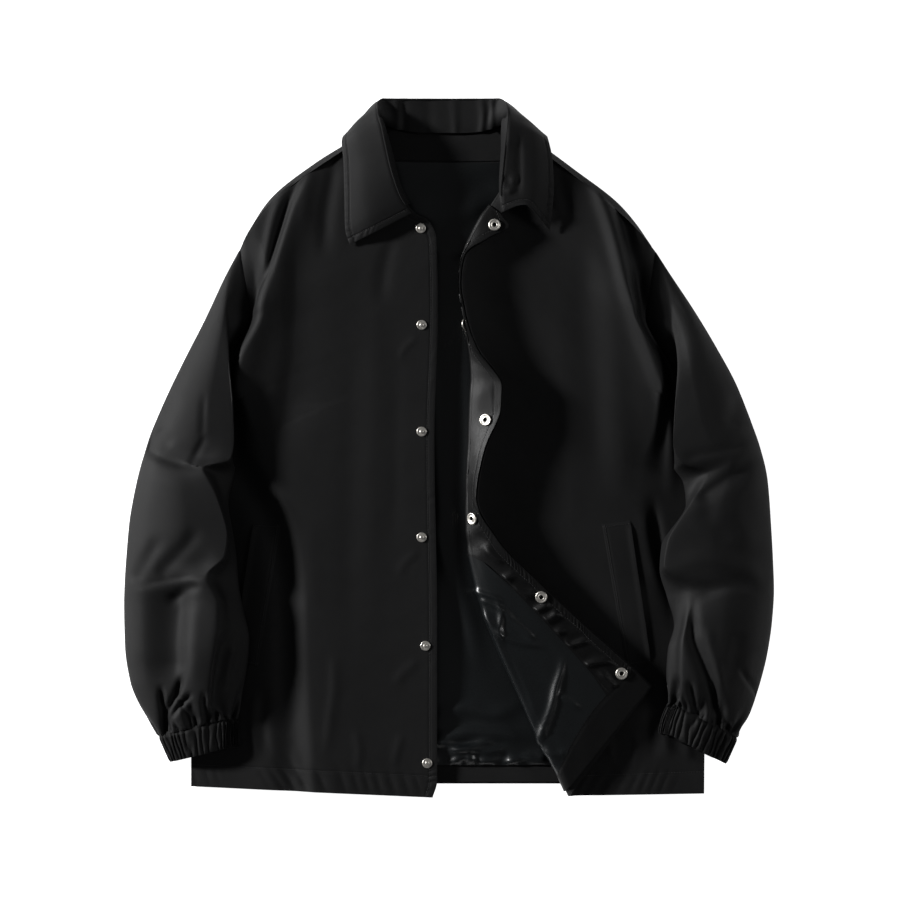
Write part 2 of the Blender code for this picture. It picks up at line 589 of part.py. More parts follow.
# Snaps: studs on the plain front, sockets on the facing of the turned one
stud = [(0, STUD_HEIGHT), (0.75 * STUD_RADIUS, STUD_HEIGHT), (STUD_RADIUS, 0.6 * STUD_HEIGHT),
        (STUD_RADIUS, 0), (0, 0)]
for k, (x, y) in enumerate(STUDS):
    u, v = find(front_right, x, y, 0.9, 0.3)
    up = -normal(front_right, u, v)
    turned(f"snap_stud_{k + 1}", stud, front_right(u, v) + GAP * up, up, metal)
socket = [(SOCKET_BORE, SOCKET_HEIGHT), (0.8 * SOCKET_RADIUS, SOCKET_HEIGHT),
          (SOCKET_RADIUS, 0.5 * SOCKET_HEIGHT), (SOCKET_RADIUS, 0), (SOCKET_BORE, 0),
          (SOCKET_BORE, SOCKET_HEIGHT)]
for k, v in enumerate(SOCKETS):
    u = 2 - min(SOCKET_INSET / flap_width(v), 1.0)
    out = -normal(front_left, u, v)
    layers = CLOTH + 2 * GAP if u < FLAP_START else CLOTH + FLAP_GAP + LINER + SOCKET_LIFT
    turned(f"snap_socket_{k + 1}", socket, front_left(u, v) + layers * out, out, metal)
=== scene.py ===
"""Looks of a lined black coach jacket laid flat, front up, with one front turned back.

Tables are in millimetres, in the frame's axes: +Y runs to the collar and +Z is up.
Every cloth piece is a fine grid on its solid's own form, raised and sunk by creases
that are listed in tables, and thickened into a thin shell.
"""
import math
from collections import namedtuple

import bpy
import numpy as np
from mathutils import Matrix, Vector


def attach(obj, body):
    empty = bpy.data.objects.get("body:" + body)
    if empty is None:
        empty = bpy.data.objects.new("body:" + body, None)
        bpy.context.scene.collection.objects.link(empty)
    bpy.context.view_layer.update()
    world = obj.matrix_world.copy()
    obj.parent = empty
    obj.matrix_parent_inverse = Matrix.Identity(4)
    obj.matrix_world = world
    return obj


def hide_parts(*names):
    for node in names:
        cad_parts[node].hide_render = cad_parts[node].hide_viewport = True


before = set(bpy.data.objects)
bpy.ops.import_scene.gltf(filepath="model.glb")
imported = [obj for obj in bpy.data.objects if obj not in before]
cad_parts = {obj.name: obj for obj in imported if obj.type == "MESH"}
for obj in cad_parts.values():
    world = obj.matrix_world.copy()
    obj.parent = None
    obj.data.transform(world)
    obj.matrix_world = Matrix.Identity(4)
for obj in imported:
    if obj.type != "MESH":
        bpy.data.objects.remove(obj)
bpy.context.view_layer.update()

MM = 0.001

# Driving dimensions, as on the solids
CLOTH, LINER, CUFF_CLOTH, WELT_CLOTH = 1.2, 1.0, 1.6, 1.5
GAP, FLAP_GAP = 0.3, 1.3
SEAM = GAP + 0.1
ARM_SHARE = 0.45
BACK_ARM = (0.50, 0.80)
STAND_NECK = 3.5
SHOULDER_OUT = (0.68, 0.73)
BOW_RIGHT, BOW_LEFT = -14.0, 6.0
BOW_END = 0.14
BOW_FULL = 27 / 4
BACK_CORNER = 2.5
BACK_HEM_Y = -369.0
UNDERARM_Y = 36.0
ARM_CLEAR, CLEAR_FROM, CLEAR_RUN = 3.6, 0.14, 0.12
BEND_LEAST, BEND_MORE, BEND_RUN, BEND_RISE = 1.5, 5, 0.08, 0.4
UNDER_IN, UNDER_DOWN, UNDER_RUN = 9.0, 7.0, 0.06
BACK_LINES = [0.0, 0.04, 0.08, 0.5, 0.92, 0.96, 1.0]
RIM_Z = 6.0
NECK_DIP, NECK_FROM, NECK_RUN, NECK_SHARE = 10.0, 0.8, 0.2, 0.84
NECK_LIFT, NECK_LIFT_Y, NECK_LIFT_RUN = 3.4, 285, 30
NECK_END = 0.25
STAND_OFF, STAND_OFF_RUN = 0.2, 0.05
SIDE_REACH = 286.0
LAP_RISE, LAP_SLOPE = 4.2, 0.075
LAP_RUN = 18.0
LAP_TOP, LAP_FADE = 54.0, 16.0
REST_SHARE, REST_EDGE = 0.66, 0.95
CROWN_FROM, CROWN_TOP, CROWN_RISE = 0.2, 0.6, 0.62
MIDDLE_SHARE = 0.62
ROLL_RUN, ROLL_RISE, ROLL_MOST = 1.2, 0.9, 0.45
FACING_WIDTH = 44.0
FACING_TOP, LINING_TOP = 0.262, 0.822
FACING_HOLD = 0.97
FLAP_START, FREE_END = 1.12, 1.985
HEM_CLEAR = 0.004
SOCKET_INSET = 15.0
SOCKET_LIFT = 0.8

# Drawn closer than on the solids, so that no seam gapes
STAND_ROLL = 0.3
SHOULDER_GAP = 0.9
SHOULDER_CLOSE = 0.15

# Stitching and edges
TOPSTITCH = 8.5
COLLAR_STITCH = 6.5
HEM_STITCH = 24.0
WELT_STITCH = 3.0
STITCH_PITCH, STITCH_LENGTH, STITCH_START = 3.1, 2.3, 0.6
THREAD, THREAD_TIP = 0.3, 0.05
THREAD_LIFT, THREAD_BULGE = 0.1, 0.15
GROOVE, GROOVE_WIDTH = 0.45, 1.0
EDGE_DROP, EDGE_WIDTH = 0.3, 0.8
PUCKER_MIDDLE = 0.55
WEAR_REACH = 1.5
SEAM_REACH = 3.0

# How creases are laid: points on a path, reach in widths, share of the path that fades out at each end
CREASE_STEPS, CREASE_REACH, CREASE_FADE = 50, 2.6, 0.3
# How a place on a cloth is found: step of the slopes, rounds, share of each move, limits
FIND_STEP, FIND_ROUNDS, FIND_MOVE, FIND_LIMITS = 0.01, 40, 0.7, (0.01, 0.98)

# Sleeve rings from armhole to cuff: outer edge, height of the crown, inner ridge, under seam
Ring = namedtuple("Ring", "outer_x outer_y outer_z crown ridge_x ridge_y ridge_z inner_x inner_y inner_z")
SLEEVE_RIGHT = [
    Ring(-230, 218, 6, 12, -217, 143, 9, -274, 36, 2.6),
    Ring(-245, 190, 9, 24, -242, 130, 25, -278, 26, 4),
    Ring(-268, 141, 10, 31, -240, 91, 32, -272, 8, 9),
    Ring(-293, 92, 10, 34, -236, 47, 34, -257, -6, 12),
    Ring(-314, 48, 10, 36, -235, 9, 35, -244, -14, 14),
    Ring(-329, 12, 10, 37, -240, -12, 38, -235, -22, 14),
    Ring(-334, -4, 10, 37, -270, -21, 47, -237, -34, 14),
    Ring(-342, -33, 10, 44, -255, -52, 46, -242, -60, 14),
    Ring(-351, -81, 10, 44, -243, -94, 44, -236, -99, 14),
    Ring(-354, -114, 10, 43, -246, -117, 45, -233, -120, 14),
    Ring(-356, -143, 10, 40, -267, -141, 49, -231, -147, 14),
    Ring(-357, -172, 10, 40, -255, -170, 47, -226, -176, 14),
    Ring(-356, -217, 10, 41, -257, -208, 48, -219, -211, 14),
    Ring(-350, -257, 10, 38, -262, -247, 43, -223, -250, 13),
    Ring(-332, -297, 9, 29, -262, -281, 34, -229, -282, 12),
    Ring(-319, -316, 8, 24, -245, -298, 20, -231, -297, 11),
]
SLEEVE_LEFT = [
    Ring(227, 216, 6, 12, 216, 143, 9, 274, 36, 2.6),
    Ring(241, 194, 9, 25, 245, 130, 26, 278, 26, 4),
    Ring(270, 150, 10, 34, 250, 91, 33, 272, 8, 9),
    Ring(294, 110, 10, 38, 247, 47, 38, 258, -6, 12),
    Ring(316, 69, 10, 40, 245, 9, 40, 248, -14, 14),
    Ring(333, 26, 10, 40, 254, -16, 38, 247, -22, 14),
    Ring(342, 0, 10, 36, 284, -27, 33, 257, -38, 13),
    Ring(350, -35, 10, 41, 264, -60, 38, 260, -63, 9),
    Ring(354, -88, 10, 42, 239, -103, 40, 233, -107, 15),
    Ring(356, -125, 10, 41, 235, -130, 38, 231, -133, 15),
    Ring(357, -156, 10, 40, 268, -156, 33, 239, -163, 14),
    Ring(355, -189, 10, 42, 260, -189, 38, 247, -194, 12),
    Ring(350, -224, 10, 42, 256, -219, 40, 240, -222, 14),
    Ring(342, -257, 10, 39, 256, -252, 37, 238, -256, 13),
    Ring(331, -290, 9, 29, 255, -277, 29, 241, -280, 12),
    Ring(317, -318, 8, 24, 251, -284, 20, 239, -282, 11),
]
CUFF_RIGHT = [
    Ring(-318.8, -316.7, 8, 24, -244.9, -298.7, 20, -230.9, -297.7, 11),
    Ring(-312, -332, 8, 23, -246, -316, 20, -231, -315, 9),
    Ring(-306, -345, 8, 22, -246, -330, 19, -230, -328, 9),
]
CUFF_LEFT = [
    Ring(316.8, -318.7, 8, 24, 250.8, -284.7, 20, 238.8, -282.7, 11),
    Ring(310, -334, 8, 23, 245, -301, 20, 233, -299, 9),
    Ring(304, -347, 8, 22, 242, -315, 19, 230, -313, 9),
]
# Sides of a front from shoulder to hem: side seam, armhole fold, level of the middle
Side = namedtuple("Side", "at x y z foot foot_z fold fold_z middle_z")
SIDES_RIGHT = [
    Side(0.00, -230, 218, 6, 0.06, 12, 0.16, 14, 15),
    Side(0.09, -228, 205, 9, 0.05, 12, 0.15, 17, 17),
    Side(0.18, -222, 180, 10, 0.05, 11, 0.16, 21, 18),
    Side(0.27, -217, 143, 9, 0.02, 9, 0.07, 24, 18),
    Side(0.36, -245, 90, 6, 0.03, 7, 0.08, 23, 18),
    Side(0.45, -274, 36, 2.8, 0.14, 6, 0.18, 20, 17),
    Side(0.52, -280, -12, 2.8, 0.17, 6, 0.26, 14, 16),
    Side(0.60, -283, -66, 2.8, 0.15, 5.8, 0.33, 13, 15),
    Side(0.80, -284, -215, 2.8, 0.15, 5.4, 0.34, 12.5, 14),
    Side(1.00, -284, -372, 2.8, 0.12, 4, 0.38, 8, 9),
]
SIDES_LEFT = [
    Side(0.00, 227, 216, 6, 0.06, 12, 0.16, 14, 15),
    Side(0.09, 225, 203, 9, 0.05, 12, 0.15, 17, 17),
    Side(0.18, 220, 180, 10, 0.05, 11, 0.16, 21, 17),
    Side(0.27, 216, 143, 9, 0.02, 9, 0.08, 24, 16),
    Side(0.36, 245, 90, 6, 0.03, 7, 0.09, 23, 15),
    Side(0.45, 274, 36, 2.8, 0.12, 6, 0.17, 20, 15),
    Side(0.52, 279, -12, 2.8, 0.15, 6, 0.21, 15, 14),
    Side(0.60, 281, -66, 2.8, 0.17, 6, 0.28, 11, 13),
    Side(0.80, 282, -215, 2.8, 0.18, 5.5, 0.32, 9, 11),
    Side(1.00, 281, -380, 2.8, 0.16, 4, 0.40, 7, 8),
]
# Neckline and front edge of the plain front
Edge = namedtuple("Edge", "at x y z")
EDGES_RIGHT = [
    Edge(0.00, -74, 357, 15),
    Edge(0.09, -66, 330, 17),
    Edge(0.18, -54, 284, 17),
    Edge(0.25, -36, 257, 17),
    Edge(0.28, -24, 251, 17),
    Edge(0.32, -14, 230, 17),
    Edge(0.45, -12, 148, 17),
    Edge(0.60, -16, 10, 16),
    Edge(0.80, -13, -190, 15),
    Edge(0.97, -13, -365, 11),
    Edge(1.00, -18, -384, 10),
]
# Turned-back front: its fold, how far before it the cloth leaves the level, and its free edge.
# In the last three rows that edge lies 2 to 5 mm lower than on the solid, on the cloth beneath.
Lapel = namedtuple("Lapel", "at lead base_z roll fold_x fold_y fold_z edge_x edge_y edge_z")
LAPELS = [
    Lapel(0.00, 30, 15, 1.5, 62, 356, 15, 59, 358, 17),
    Lapel(0.09, 40, 16, 1.5, 62, 330, 18, 60, 331, 21),
    Lapel(0.18, 45, 16, 1.5, 59, 289, 21, 58, 290, 25),
    Lapel(0.25, 55, 16, 1.5, 48, 268, 24, 58, 258, 28),
    Lapel(0.31, 65, 16, 2.0, 35, 251, 25, 66, 242, 29),
    Lapel(0.35, 70, 16, 2.0, 27, 235, 26, 42, 228, 32),
    Lapel(0.40, 80, 16, 2.0, 17, 209, 29, 19, 209, 36),
    Lapel(0.45, 85, 15, 2.0, 14, 181, 30, 15, 180, 38),
    Lapel(0.50, 85, 15, 2.0, 18, 150, 30, 20, 148, 38),
    Lapel(0.55, 80, 15, 2.0, 23, 119, 28, 31, 113, 39),
    Lapel(0.60, 70, 14, 2.5, 26, 77, 25, 59, 68, 40),
    Lapel(0.64, 65, 14, 2.5, 24, 42, 24, 58, 42, 40),
    Lapel(0.69, 60, 14, 2.5, 23, -2, 23, 41, -2, 40),
    Lapel(0.74, 50, 13, 3.0, 21, -52, 22, 32, -54, 39),
    Lapel(0.79, 38, 13, 4.0, 22, -101, 20, 54, -99, 36),
    Lapel(0.84, 28, 12, 5.0, 30, -147, 18.5, 101, -148, 31),
    Lapel(0.89, 20, 12, 5.0, 47, -200, 18, 151, -195, 25),
    Lapel(0.95, 16, 11, 5.0, 82, -277, 17, 200, -239, 18),
    Lapel(1.00, 14, 9, 4.5, 132, -382, 14.5, 223, -261, 14),
]
# Shoulder line of the back, between shoulder point and neck
Shoulder = namedtuple("Shoulder", "at left_x left_y right_x right_y")
SHOULDERS = [
    Shoulder(0.0, -231, 219, 228, 217),
    Shoulder(0.3, -197, 273, 187, 268),
    Shoulder(0.6, -147, 313, 135, 308),
    Shoulder(0.85, -103, 341, 92, 340),
    Shoulder(1.0, -78, 361, 66, 360),
]
# Collar sections from the front end of one leaf round the back to the other
Collar = namedtuple("Collar", "at roll_x roll_y roll_z mid_x mid_y mid_z edge_x edge_y edge_z")
COLLAR = [
    Collar(0.00, -41, 257, 27, -76, 239, 27, -109, 223, 21.5),
    Collar(0.08, -53, 275, 32, -85, 257, 30, -114, 241, 21.5),
    Collar(0.17, -63, 303, 36, -92, 293, 31, -115, 284, 22),
    Collar(0.26, -70, 333, 37, -95, 325, 31, -116, 316, 22),
    Collar(0.31, -74, 352, 35, -101, 346, 28, -118, 335, 20),
    Collar(0.345, -78, 366, 30, -101, 357, 20, -116, 343, 9),
    Collar(0.38, -79, 377, 21, -94, 366, 10, -104, 343, 0.6),
    Collar(0.42, -72, 384, 13, -77, 379, 4, -78, 337, 0),
    Collar(0.50, -9, 384, 9, -9, 379, 2, -9, 330, 0),
    Collar(0.58, 54, 384, 13, 59, 379, 4, 60, 337, 0),
    Collar(0.62, 62, 379, 21, 80, 366, 10, 92, 343, 0.6),
    Collar(0.655, 65, 367, 30, 89, 357, 20, 107, 343, 9),
    Collar(0.69, 64, 352, 36, 90, 347, 29, 110, 335, 20),
    Collar(0.74, 62, 334, 38, 90, 326, 33, 114, 313, 22),
    Collar(0.83, 59, 303, 38, 88, 293, 35, 115, 284, 22),
    Collar(0.92, 57, 278, 37, 84, 270, 36, 113, 258, 22),
    Collar(1.00, 58, 258, 35, 82, 266, 37, 111, 238, 21.5),
]
# Pocket welts: corners from the top, inner side first
Welt = namedtuple("Welt", "top_in_x top_in_y top_out_x top_out_y low_in_x low_in_y low_out_x low_out_y")
WELT_RIGHT = Welt(-185, -84, -215, -82, -210, -240, -238, -236)
WELT_LEFT = Welt(168, -84, 199, -80, 195, -241, 222, -236)
STUDS = [(-31, 241), (-30, 135), (-30, 18), (-30, -98), (-26, -217), (-24, -346)]
SOCKETS = [0.318, 0.524, 0.654, 0.765, 0.855, 0.955]

# Creases: height (below zero for a trough), reach to the left and right of the path, path from above
Crease = namedtuple("Crease", "height left right path")
CREASES_FRONT_RIGHT = [
    Crease(5.5, 20, 4, [(-146, 322), (-158, 300), (-168, 278), (-178, 245), (-189, 212), (-202, 172),
                        (-216, 133), (-226, 100), (-233, 70), (-231, 45), (-222, 5)]),
    Crease(2.4, 5, 6, [(-176, 292), (-184, 274), (-191, 256), (-198, 225), (-202, 190), (-206, 163),
                       (-210, 140)]),
    Crease(-3.5, 4, 5, [(-154, 306), (-164, 289), (-174, 268), (-185, 234), (-194, 204), (-205, 170),
                        (-214, 140)]),
    Crease(-2.8, 28, 12, [(-160, 250), (-167, 200), (-168, 125), (-180, 35), (-192, -30)]),
    Crease(-2.2, 9, 7, [(-124, 325), (-130, 290), (-136, 250), (-138, 200)]),
    Crease(1.2, 8, 8, [(-146, 315), (-156, 280), (-160, 235)]),
    Crease(0.9, 7, 5, [(-127, -217), (-126, -258), (-131, -300), (-136, -345)]),
    Crease(0.8, 6, 5, [(-173, -325), (-166, -352), (-163, -376)]),
    Crease(0.5, 12, 10, [(-152, -80), (-151, -130), (-151, -190)]),
    Crease(0.5, 12, 12, [(-78, 200), (-80, 90), (-84, -60), (-86, -220)]),
    Crease(-0.5, 12, 12, [(-104, 150), (-107, 30), (-110, -120), (-108, -260)]),
    Crease(-0.4, 8, 8, [(-56, 120), (-58, 0), (-60, -130)]),
    Crease(-1.2, 8, 8, [(-60, 236), (-70, 200), (-76, 150)]),
    Crease(1.2, 7, 5, [(-212, -262), (-216, -300), (-210, -350)]),
    Crease(-1.4, 6, 8, [(-204, -255), (-205, -300), (-198, -345)]),
    Crease(0.7, 5, 5, [(-30, -232), (-48, -245), (-62, -262)]),
    Crease(0.6, 4, 4, [(-32, 122), (-46, 112), (-56, 96)]),
    Crease(0.6, 4, 5, [(-30, -112), (-46, -124), (-58, -142)]),
    Crease(0.7, 5, 4, [(-60, -352), (-56, -330), (-50, -312)]),
    Crease(0.7, 5, 4, [(-100, -356), (-98, -332), (-104, -306)]),
    Crease(3.4, 70, 12, [(-226, 80), (-229, 45), (-220, 8), (-203, -18), (-181, -52), (-163, -95),
                         (-155, -167), (-153, -255), (-148, -335), (-144, -420), (-141, -500), (-139, -560)]),
    Crease(-4.5, 15, 15, [(-250, 10), (-238, -15), (-222, -40), (-203, -72), (-190, -108), (-181, -170),
                          (-179, -255), (-174, -335), (-169, -420), (-167, -500)]),
]
CREASES_FRONT_LEFT = [
    Crease(7.0, 9, 9, [(146, 350), (157, 310), (165, 283), (180, 238), (196, 177), (212, 128), (227, 87),
                       (240, 50), (244, 6), (244, -30), (244, -66)]),
    Crease(-5.5, 8, 6, [(180, 290), (188, 262), (195, 236), (201, 210), (206, 185), (210, 160), (216, 136)]),
    Crease(2.0, 15, 17, [(160, 262), (174, 170), (184, 60), (189, -20), (190, -75)]),
    Crease(-0.8, 12, 12, [(140, 220), (148, 140), (160, 40), (164, -60)]),
    Crease(0.5, 12, 10, [(118, 180), (126, 90), (136, -20), (138, -110)]),
    Crease(-3.0, 6, 8, [(222, -40), (229, -95), (243, -150), (250, -210)]),
    Crease(1.4, 6, 8, [(214, -60), (220, -110), (232, -170)]),
    Crease(1.3, 7, 6, [(236, -270), (238, -310), (242, -345)]),
    Crease(-1.3, 7, 7, [(224, -265), (222, -310), (226, -350)]),
    Crease(1.2, 6, 7, [(262, -275), (262, -315), (266, -350)]),
    Crease(-1.6, 7, 8, [(118, 315), (126, 280), (136, 240)]),
    Crease(0.7, 5, 5, [(180, -350), (176, -325), (168, -300)]),
    Crease(0.6, 4, 5, [(204, -356), (206, -330), (200, -304)]),
]
CREASES_SLEEVE_RIGHT = [
    Crease(-4.2, 26, 6, [(-344, 6), (-332, -1), (-312, -10), (-273, -21), (-250, -26)]),
    Crease(-1.5, 4, 3, [(-266, 16), (-271, 5), (-281, -12), (-287, -22)]),
    Crease(-1.6, 8, 8, [(-322, 24), (-314, 14), (-304, 0)]),
    Crease(-3.4, 22, 6, [(-352, -150), (-330, -147), (-300, -141), (-270, -136), (-250, -134)]),
    Crease(-2.4, 8, 8, [(-272, -84), (-285, -104), (-311, -131), (-322, -142)]),
    Crease(-2.0, 8, 8, [(-312, -92), (-326, -114), (-341, -138), (-346, -150)]),
    Crease(-3.0, 6, 5, [(-314, -170), (-299, -163), (-284, -154), (-268, -150)]),
    Crease(-13.0, 15, 30, [(-296, -130), (-298, -160), (-301, -190), (-303, -220), (-303, -250),
                           (-300, -290)]),
    Crease(1.5, 11, 10, [(-280, -160), (-282, -195), (-282, -230), (-280, -262)]),
    Crease(-1.6, 10, 10, [(-300, 62), (-309, 42), (-322, 18)]),
    Crease(-1.2, 3, 4, [(-268, 66), (-269, 30), (-270, 8)]),
    Crease(-6.0, 7, 6, [(-244, -196), (-246, -220), (-251, -250), (-256, -282), (-258, -310)]),
    Crease(3.0, 4, 4, [(-236, -212), (-239, -226), (-244, -250), (-249, -276)]),
    Crease(-5.5, 3, 3, [(-318, -258), (-315, -278), (-312, -300), (-310, -330)]),
    Crease(-5.0, 3, 4, [(-292, -244), (-296, -264), (-305, -283), (-314, -300)]),
    Crease(-4.5, 3, 3, [(-280, -266), (-288, -276), (-298, -286), (-308, -302)]),
    Crease(-4.0, 3, 4, [(-284, -272), (-281, -288), (-277, -303), (-275, -326)]),
    Crease(-2.0, 2, 2, [(-302, -262), (-296, -276), (-288, -296), (-286, -314)]),
    Crease(-4.0, 3, 3, [(-268, -262), (-268, -280), (-266, -300), (-266, -322)]),
]
CREASES_SLEEVE_LEFT = [
    Crease(-4.5, 7, 11, [(270, -58), (282, -48), (310, -30), (342, -10)]),
    Crease(-1.6, 8, 5, [(252, -16), (272, -8), (309, 0), (334, 12)]),
    Crease(2.2, 12, 10, [(236, -130), (278, -122), (320, -131), (350, -142)]),
    Crease(-3.0, 12, 5, [(262, -166), (290, -156), (318, -150), (350, -158)]),
    Crease(-6.5, 6, 7, [(270, -150), (266, -180), (267, -205), (276, -232), (287, -263), (291, -292),
                        (292, -320)]),
    Crease(-4.0, 3, 3, [(249, -246), (248, -262), (247, -282), (246, -306)]),
    Crease(-4.5, 3, 4, [(262, -250), (266, -268), (270, -288), (273, -312)]),
    Crease(-5.0, 3, 3, [(286, -252), (291, -276), (295, -302), (298, -330)]),
    Crease(-3.5, 3, 3, [(298, -272), (301, -290), (304, -306), (307, -330)]),
    Crease(-2.5, 3, 3, [(316, -238), (326, -252), (336, -266), (346, -282)]),
    Crease(2.0, 5, 4, [(280, -190), (286, -216), (296, -250), (300, -276)]),
    Crease(-2.0, 10, 10, [(321, 66), (314, 40), (308, 18)]),
    Crease(1.4, 13, 13, [(300, -55), (318, -85), (330, -118)]),
    Crease(-1.6, 9, 9, [(272, -62), (290, -84), (312, -104)]),
    Crease(-1.6, 9, 9, [(318, -196), (314, -226), (308, -256)]),
]
# Hollow of a sleeve's head, in the same measures but sunk straight down
HOLLOW_SLEEVE_LEFT = [
    Crease(-9.0, 16, 12, [(222, 250), (226, 228), (231, 206), (237, 186), (243, 165), (247, 142), (250, 119),
                          (251, 95), (250, 70)]),
]
CREASES_COLLAR = [
    Crease(-1.6, 4, 6, [(76, 351), (77, 307), (75, 270)]),
    Crease(1.4, 5, 3, [(63, 276), (69, 285), (75, 306)]),
    Crease(-1.0, 4, 4, [(60, 300), (66, 290), (74, 284)]),
    Crease(1.2, 6, 5, [(70, 370), (66, 350), (66, 325)]),
]
CREASES_LINING = [
    Crease(6.0, 5, 9, [(-44, -334), (-4, -317), (30, -311), (56, -313), (100, -322)]),
    Crease(5.0, 4, 6, [(-30, -330), (-10, -324), (14, -330), (40, -324), (60, -330)]),
    Crease(5.0, 4, 6, [(-20, -338), (20, -331), (44, -333), (74, -326)]),
    Crease(5.0, 4, 5, [(-6, -352), (18, -341), (40, -347), (64, -338)]),
    Crease(4.5, 4, 5, [(40, -354), (60, -349), (84, -341), (104, -346)]),
    Crease(4.0, 6, 8, [(-20, -296), (16, -286), (48, -292), (84, -284)]),
    Crease(3.5, 12, 16, [(-40, 200), (-20, 90), (-10, -40), (0, -150)]),
    Crease(3.0, 14, 12, [(24, 230), (18, 120), (26, 0), (18, -120)]),
    Crease(2.6, 8, 10, [(-8, 170), (4, 60), (2, -60), (12, -200)]),
    Crease(2.6, 9, 9, [(-30, -60), (0, -130), (22, -190), (40, -260)]),
    Crease(3.0, 12, 12, [(-52, 280), (-20, 255), (20, 262), (46, 285)]),
    Crease(2.0, 9, 9, [(-40, 240), (-6, 215), (30, 225)]),
]
CREASES_FLAP = [
    Crease(3.4, 2.5, 5, [(128, -222), (124, -242), (118, -262), (113, -284), (104, -309), (99, -326),
                         (92, -350)]),
    Crease(2.6, 4, 3, [(34, -176), (43, -186), (56, -204), (73, -212), (92, -216), (110, -219)]),
    Crease(2.2, 3, 3, [(24, -154), (35, -159), (51, -164), (62, -172)]),
    Crease(2.0, 3, 3, [(32, -164), (43, -169), (58, -176), (70, -190)]),
    Crease(2.2, 3, 4, [(58, -174), (70, -187), (86, -202), (98, -212)]),
    Crease(2.0, 3, 4, [(118, -268), (126, -274), (136, -280), (148, -286)]),
    Crease(2.0, 4, 3, [(96, -330), (108, -334), (120, -337), (136, -326)]),
    Crease(1.8, 4, 3, [(98, -312), (104, -326), (112, -340), (116, -356)]),
    Crease(1.2, 8, 5, [(66, -222), (80, -250), (92, -280), (98, -306)]),
    Crease(2.2, 2.5, 4, [(52, -166), (58, -182), (56, -200), (62, -220)]),
    Crease(2.4, 3, 3, [(30, -150), (40, -180), (54, -214), (70, -250), (86, -286), (98, -316), (108, -346)]),
]
CREASES_FACING = [
    Crease(3.4, 4, 5, [(30, -124), (40, -136), (52, -146), (64, -142), (76, -134)]),
    Crease(2.4, 5, 4, [(36, -104), (46, -116), (56, -122), (66, -120)]),
    Crease(3.2, 4, 4, [(78, -190), (86, -184), (96, -178), (106, -172), (116, -160)]),
    Crease(2.8, 4, 5, [(96, -190), (108, -188), (120, -180), (130, -176)]),
    Crease(3.2, 3, 4, [(114, -228), (124, -221), (134, -216), (146, -212), (158, -207)]),
    Crease(3.0, 3, 3, [(130, -206), (128, -218), (127, -230), (126, -242), (123, -254)]),
    Crease(3.0, 4, 3, [(132, -260), (140, -248), (149, -240), (160, -235), (173, -234), (188, -242)]),
    Crease(2.6, 4, 4, [(162, -242), (172, -252), (182, -262), (192, -274)]),
    Crease(2.4, 4, 4, [(144, -254), (154, -259), (163, -266), (170, -278)]),
    Crease(2.6, 4, 5, [(64, -150), (76, -156), (88, -160), (98, -160)]),
    Crease(2.4, 5, 4, [(100, -206), (110, -206), (120, -202), (130, -196)]),
]
CREASES_STAND = [
    Crease(1.0, 3, 4, [(6, 396), (7, 365), (8, 330)]),
    Crease(1.6, 3, 5, [(-58, 396), (-56, 362), (-60, 330)]),
    Crease(-1.2, 4, 3, [(-52, 396), (-50, 362), (-53, 330)]),
    Crease(1.5, 3, 4, [(34, 396), (38, 365), (33, 332)]),
    Crease(1.4, 3, 3, [(46, 396), (48, 365), (42, 332)]),
    Crease(-0.8, 6, 6, [(-24, 396), (-22, 365), (-26, 330)]),
]


def curve(knots, values, at):
    """Smooth curves through rows of values, with no overshoot."""
    knots = np.asarray(knots, float)
    values = np.asarray(values, float).reshape(len(knots), -1)
    at = np.atleast_1d(np.asarray(at, float))
    step = np.diff(knots)[:, None]
    rise = np.diff(values, axis=0) / step
    slope = np.zeros_like(values)
    slope[0], slope[-1] = rise[0], rise[-1]
    before, after = rise[:-1], rise[1:]
    weight_a, weight_b = 2 * step[1:] + step[:-1], step[1:] + 2 * step[:-1]
    same = before * after > 1e-12
    safe_a, safe_b = np.where(same, before, 1.0), np.where(same, after, 1.0)
    slope[1:-1] = np.where(same, (weight_a + weight_b) / (weight_a / safe_a + weight_b / safe_b), 0.0)
    k = np.clip(np.searchsorted(knots, at) - 1, 0, len(step) - 1)
    h = step[k]
    t = (at[:, None] - knots[k][:, None]) / h
    return ((2 * t ** 3 - 3 * t ** 2 + 1) * values[k] + (t ** 3 - 2 * t ** 2 + t) * h * slope[k]
            + (3 * t ** 2 - 2 * t ** 3) * values[k + 1] + (t ** 3 - t ** 2) * h * slope[k + 1])


def row_at(table, at):
    """One section of a table, between its rows."""
    if "at" in table[0]._fields:
        knots = [row.at for row in table]
    else:
        knots = np.linspace(0.0, 1.0, len(table))
    return type(table[0])(*curve(knots, table, at)[0])


def mix(a, b, t):
    return np.asarray(a, float) * (1 - t) + np.asarray(b, float) * t


def ease(t):
    t = np.clip(t, 0.0, 1.0)
    return t * t * (3 - 2 * t)


def unit(vectors):
    return vectors / np.maximum(np.linalg.norm(vectors, axis=-1, keepdims=True), 1e-9)


# Surfaces of the pieces: each gives a row of points for an array of places across it


def over_body(points):
    """Height at which a sleeve clears the side of the body it lies on."""
    inside = SIDE_REACH - np.abs(points[:, 0])
    rise = LAP_RISE * ease((inside + LAP_RUN) / LAP_RUN) + LAP_SLOPE * np.maximum(inside, 0.0)
    return rise * ease((LAP_TOP - points[:, 1]) / LAP_FADE)


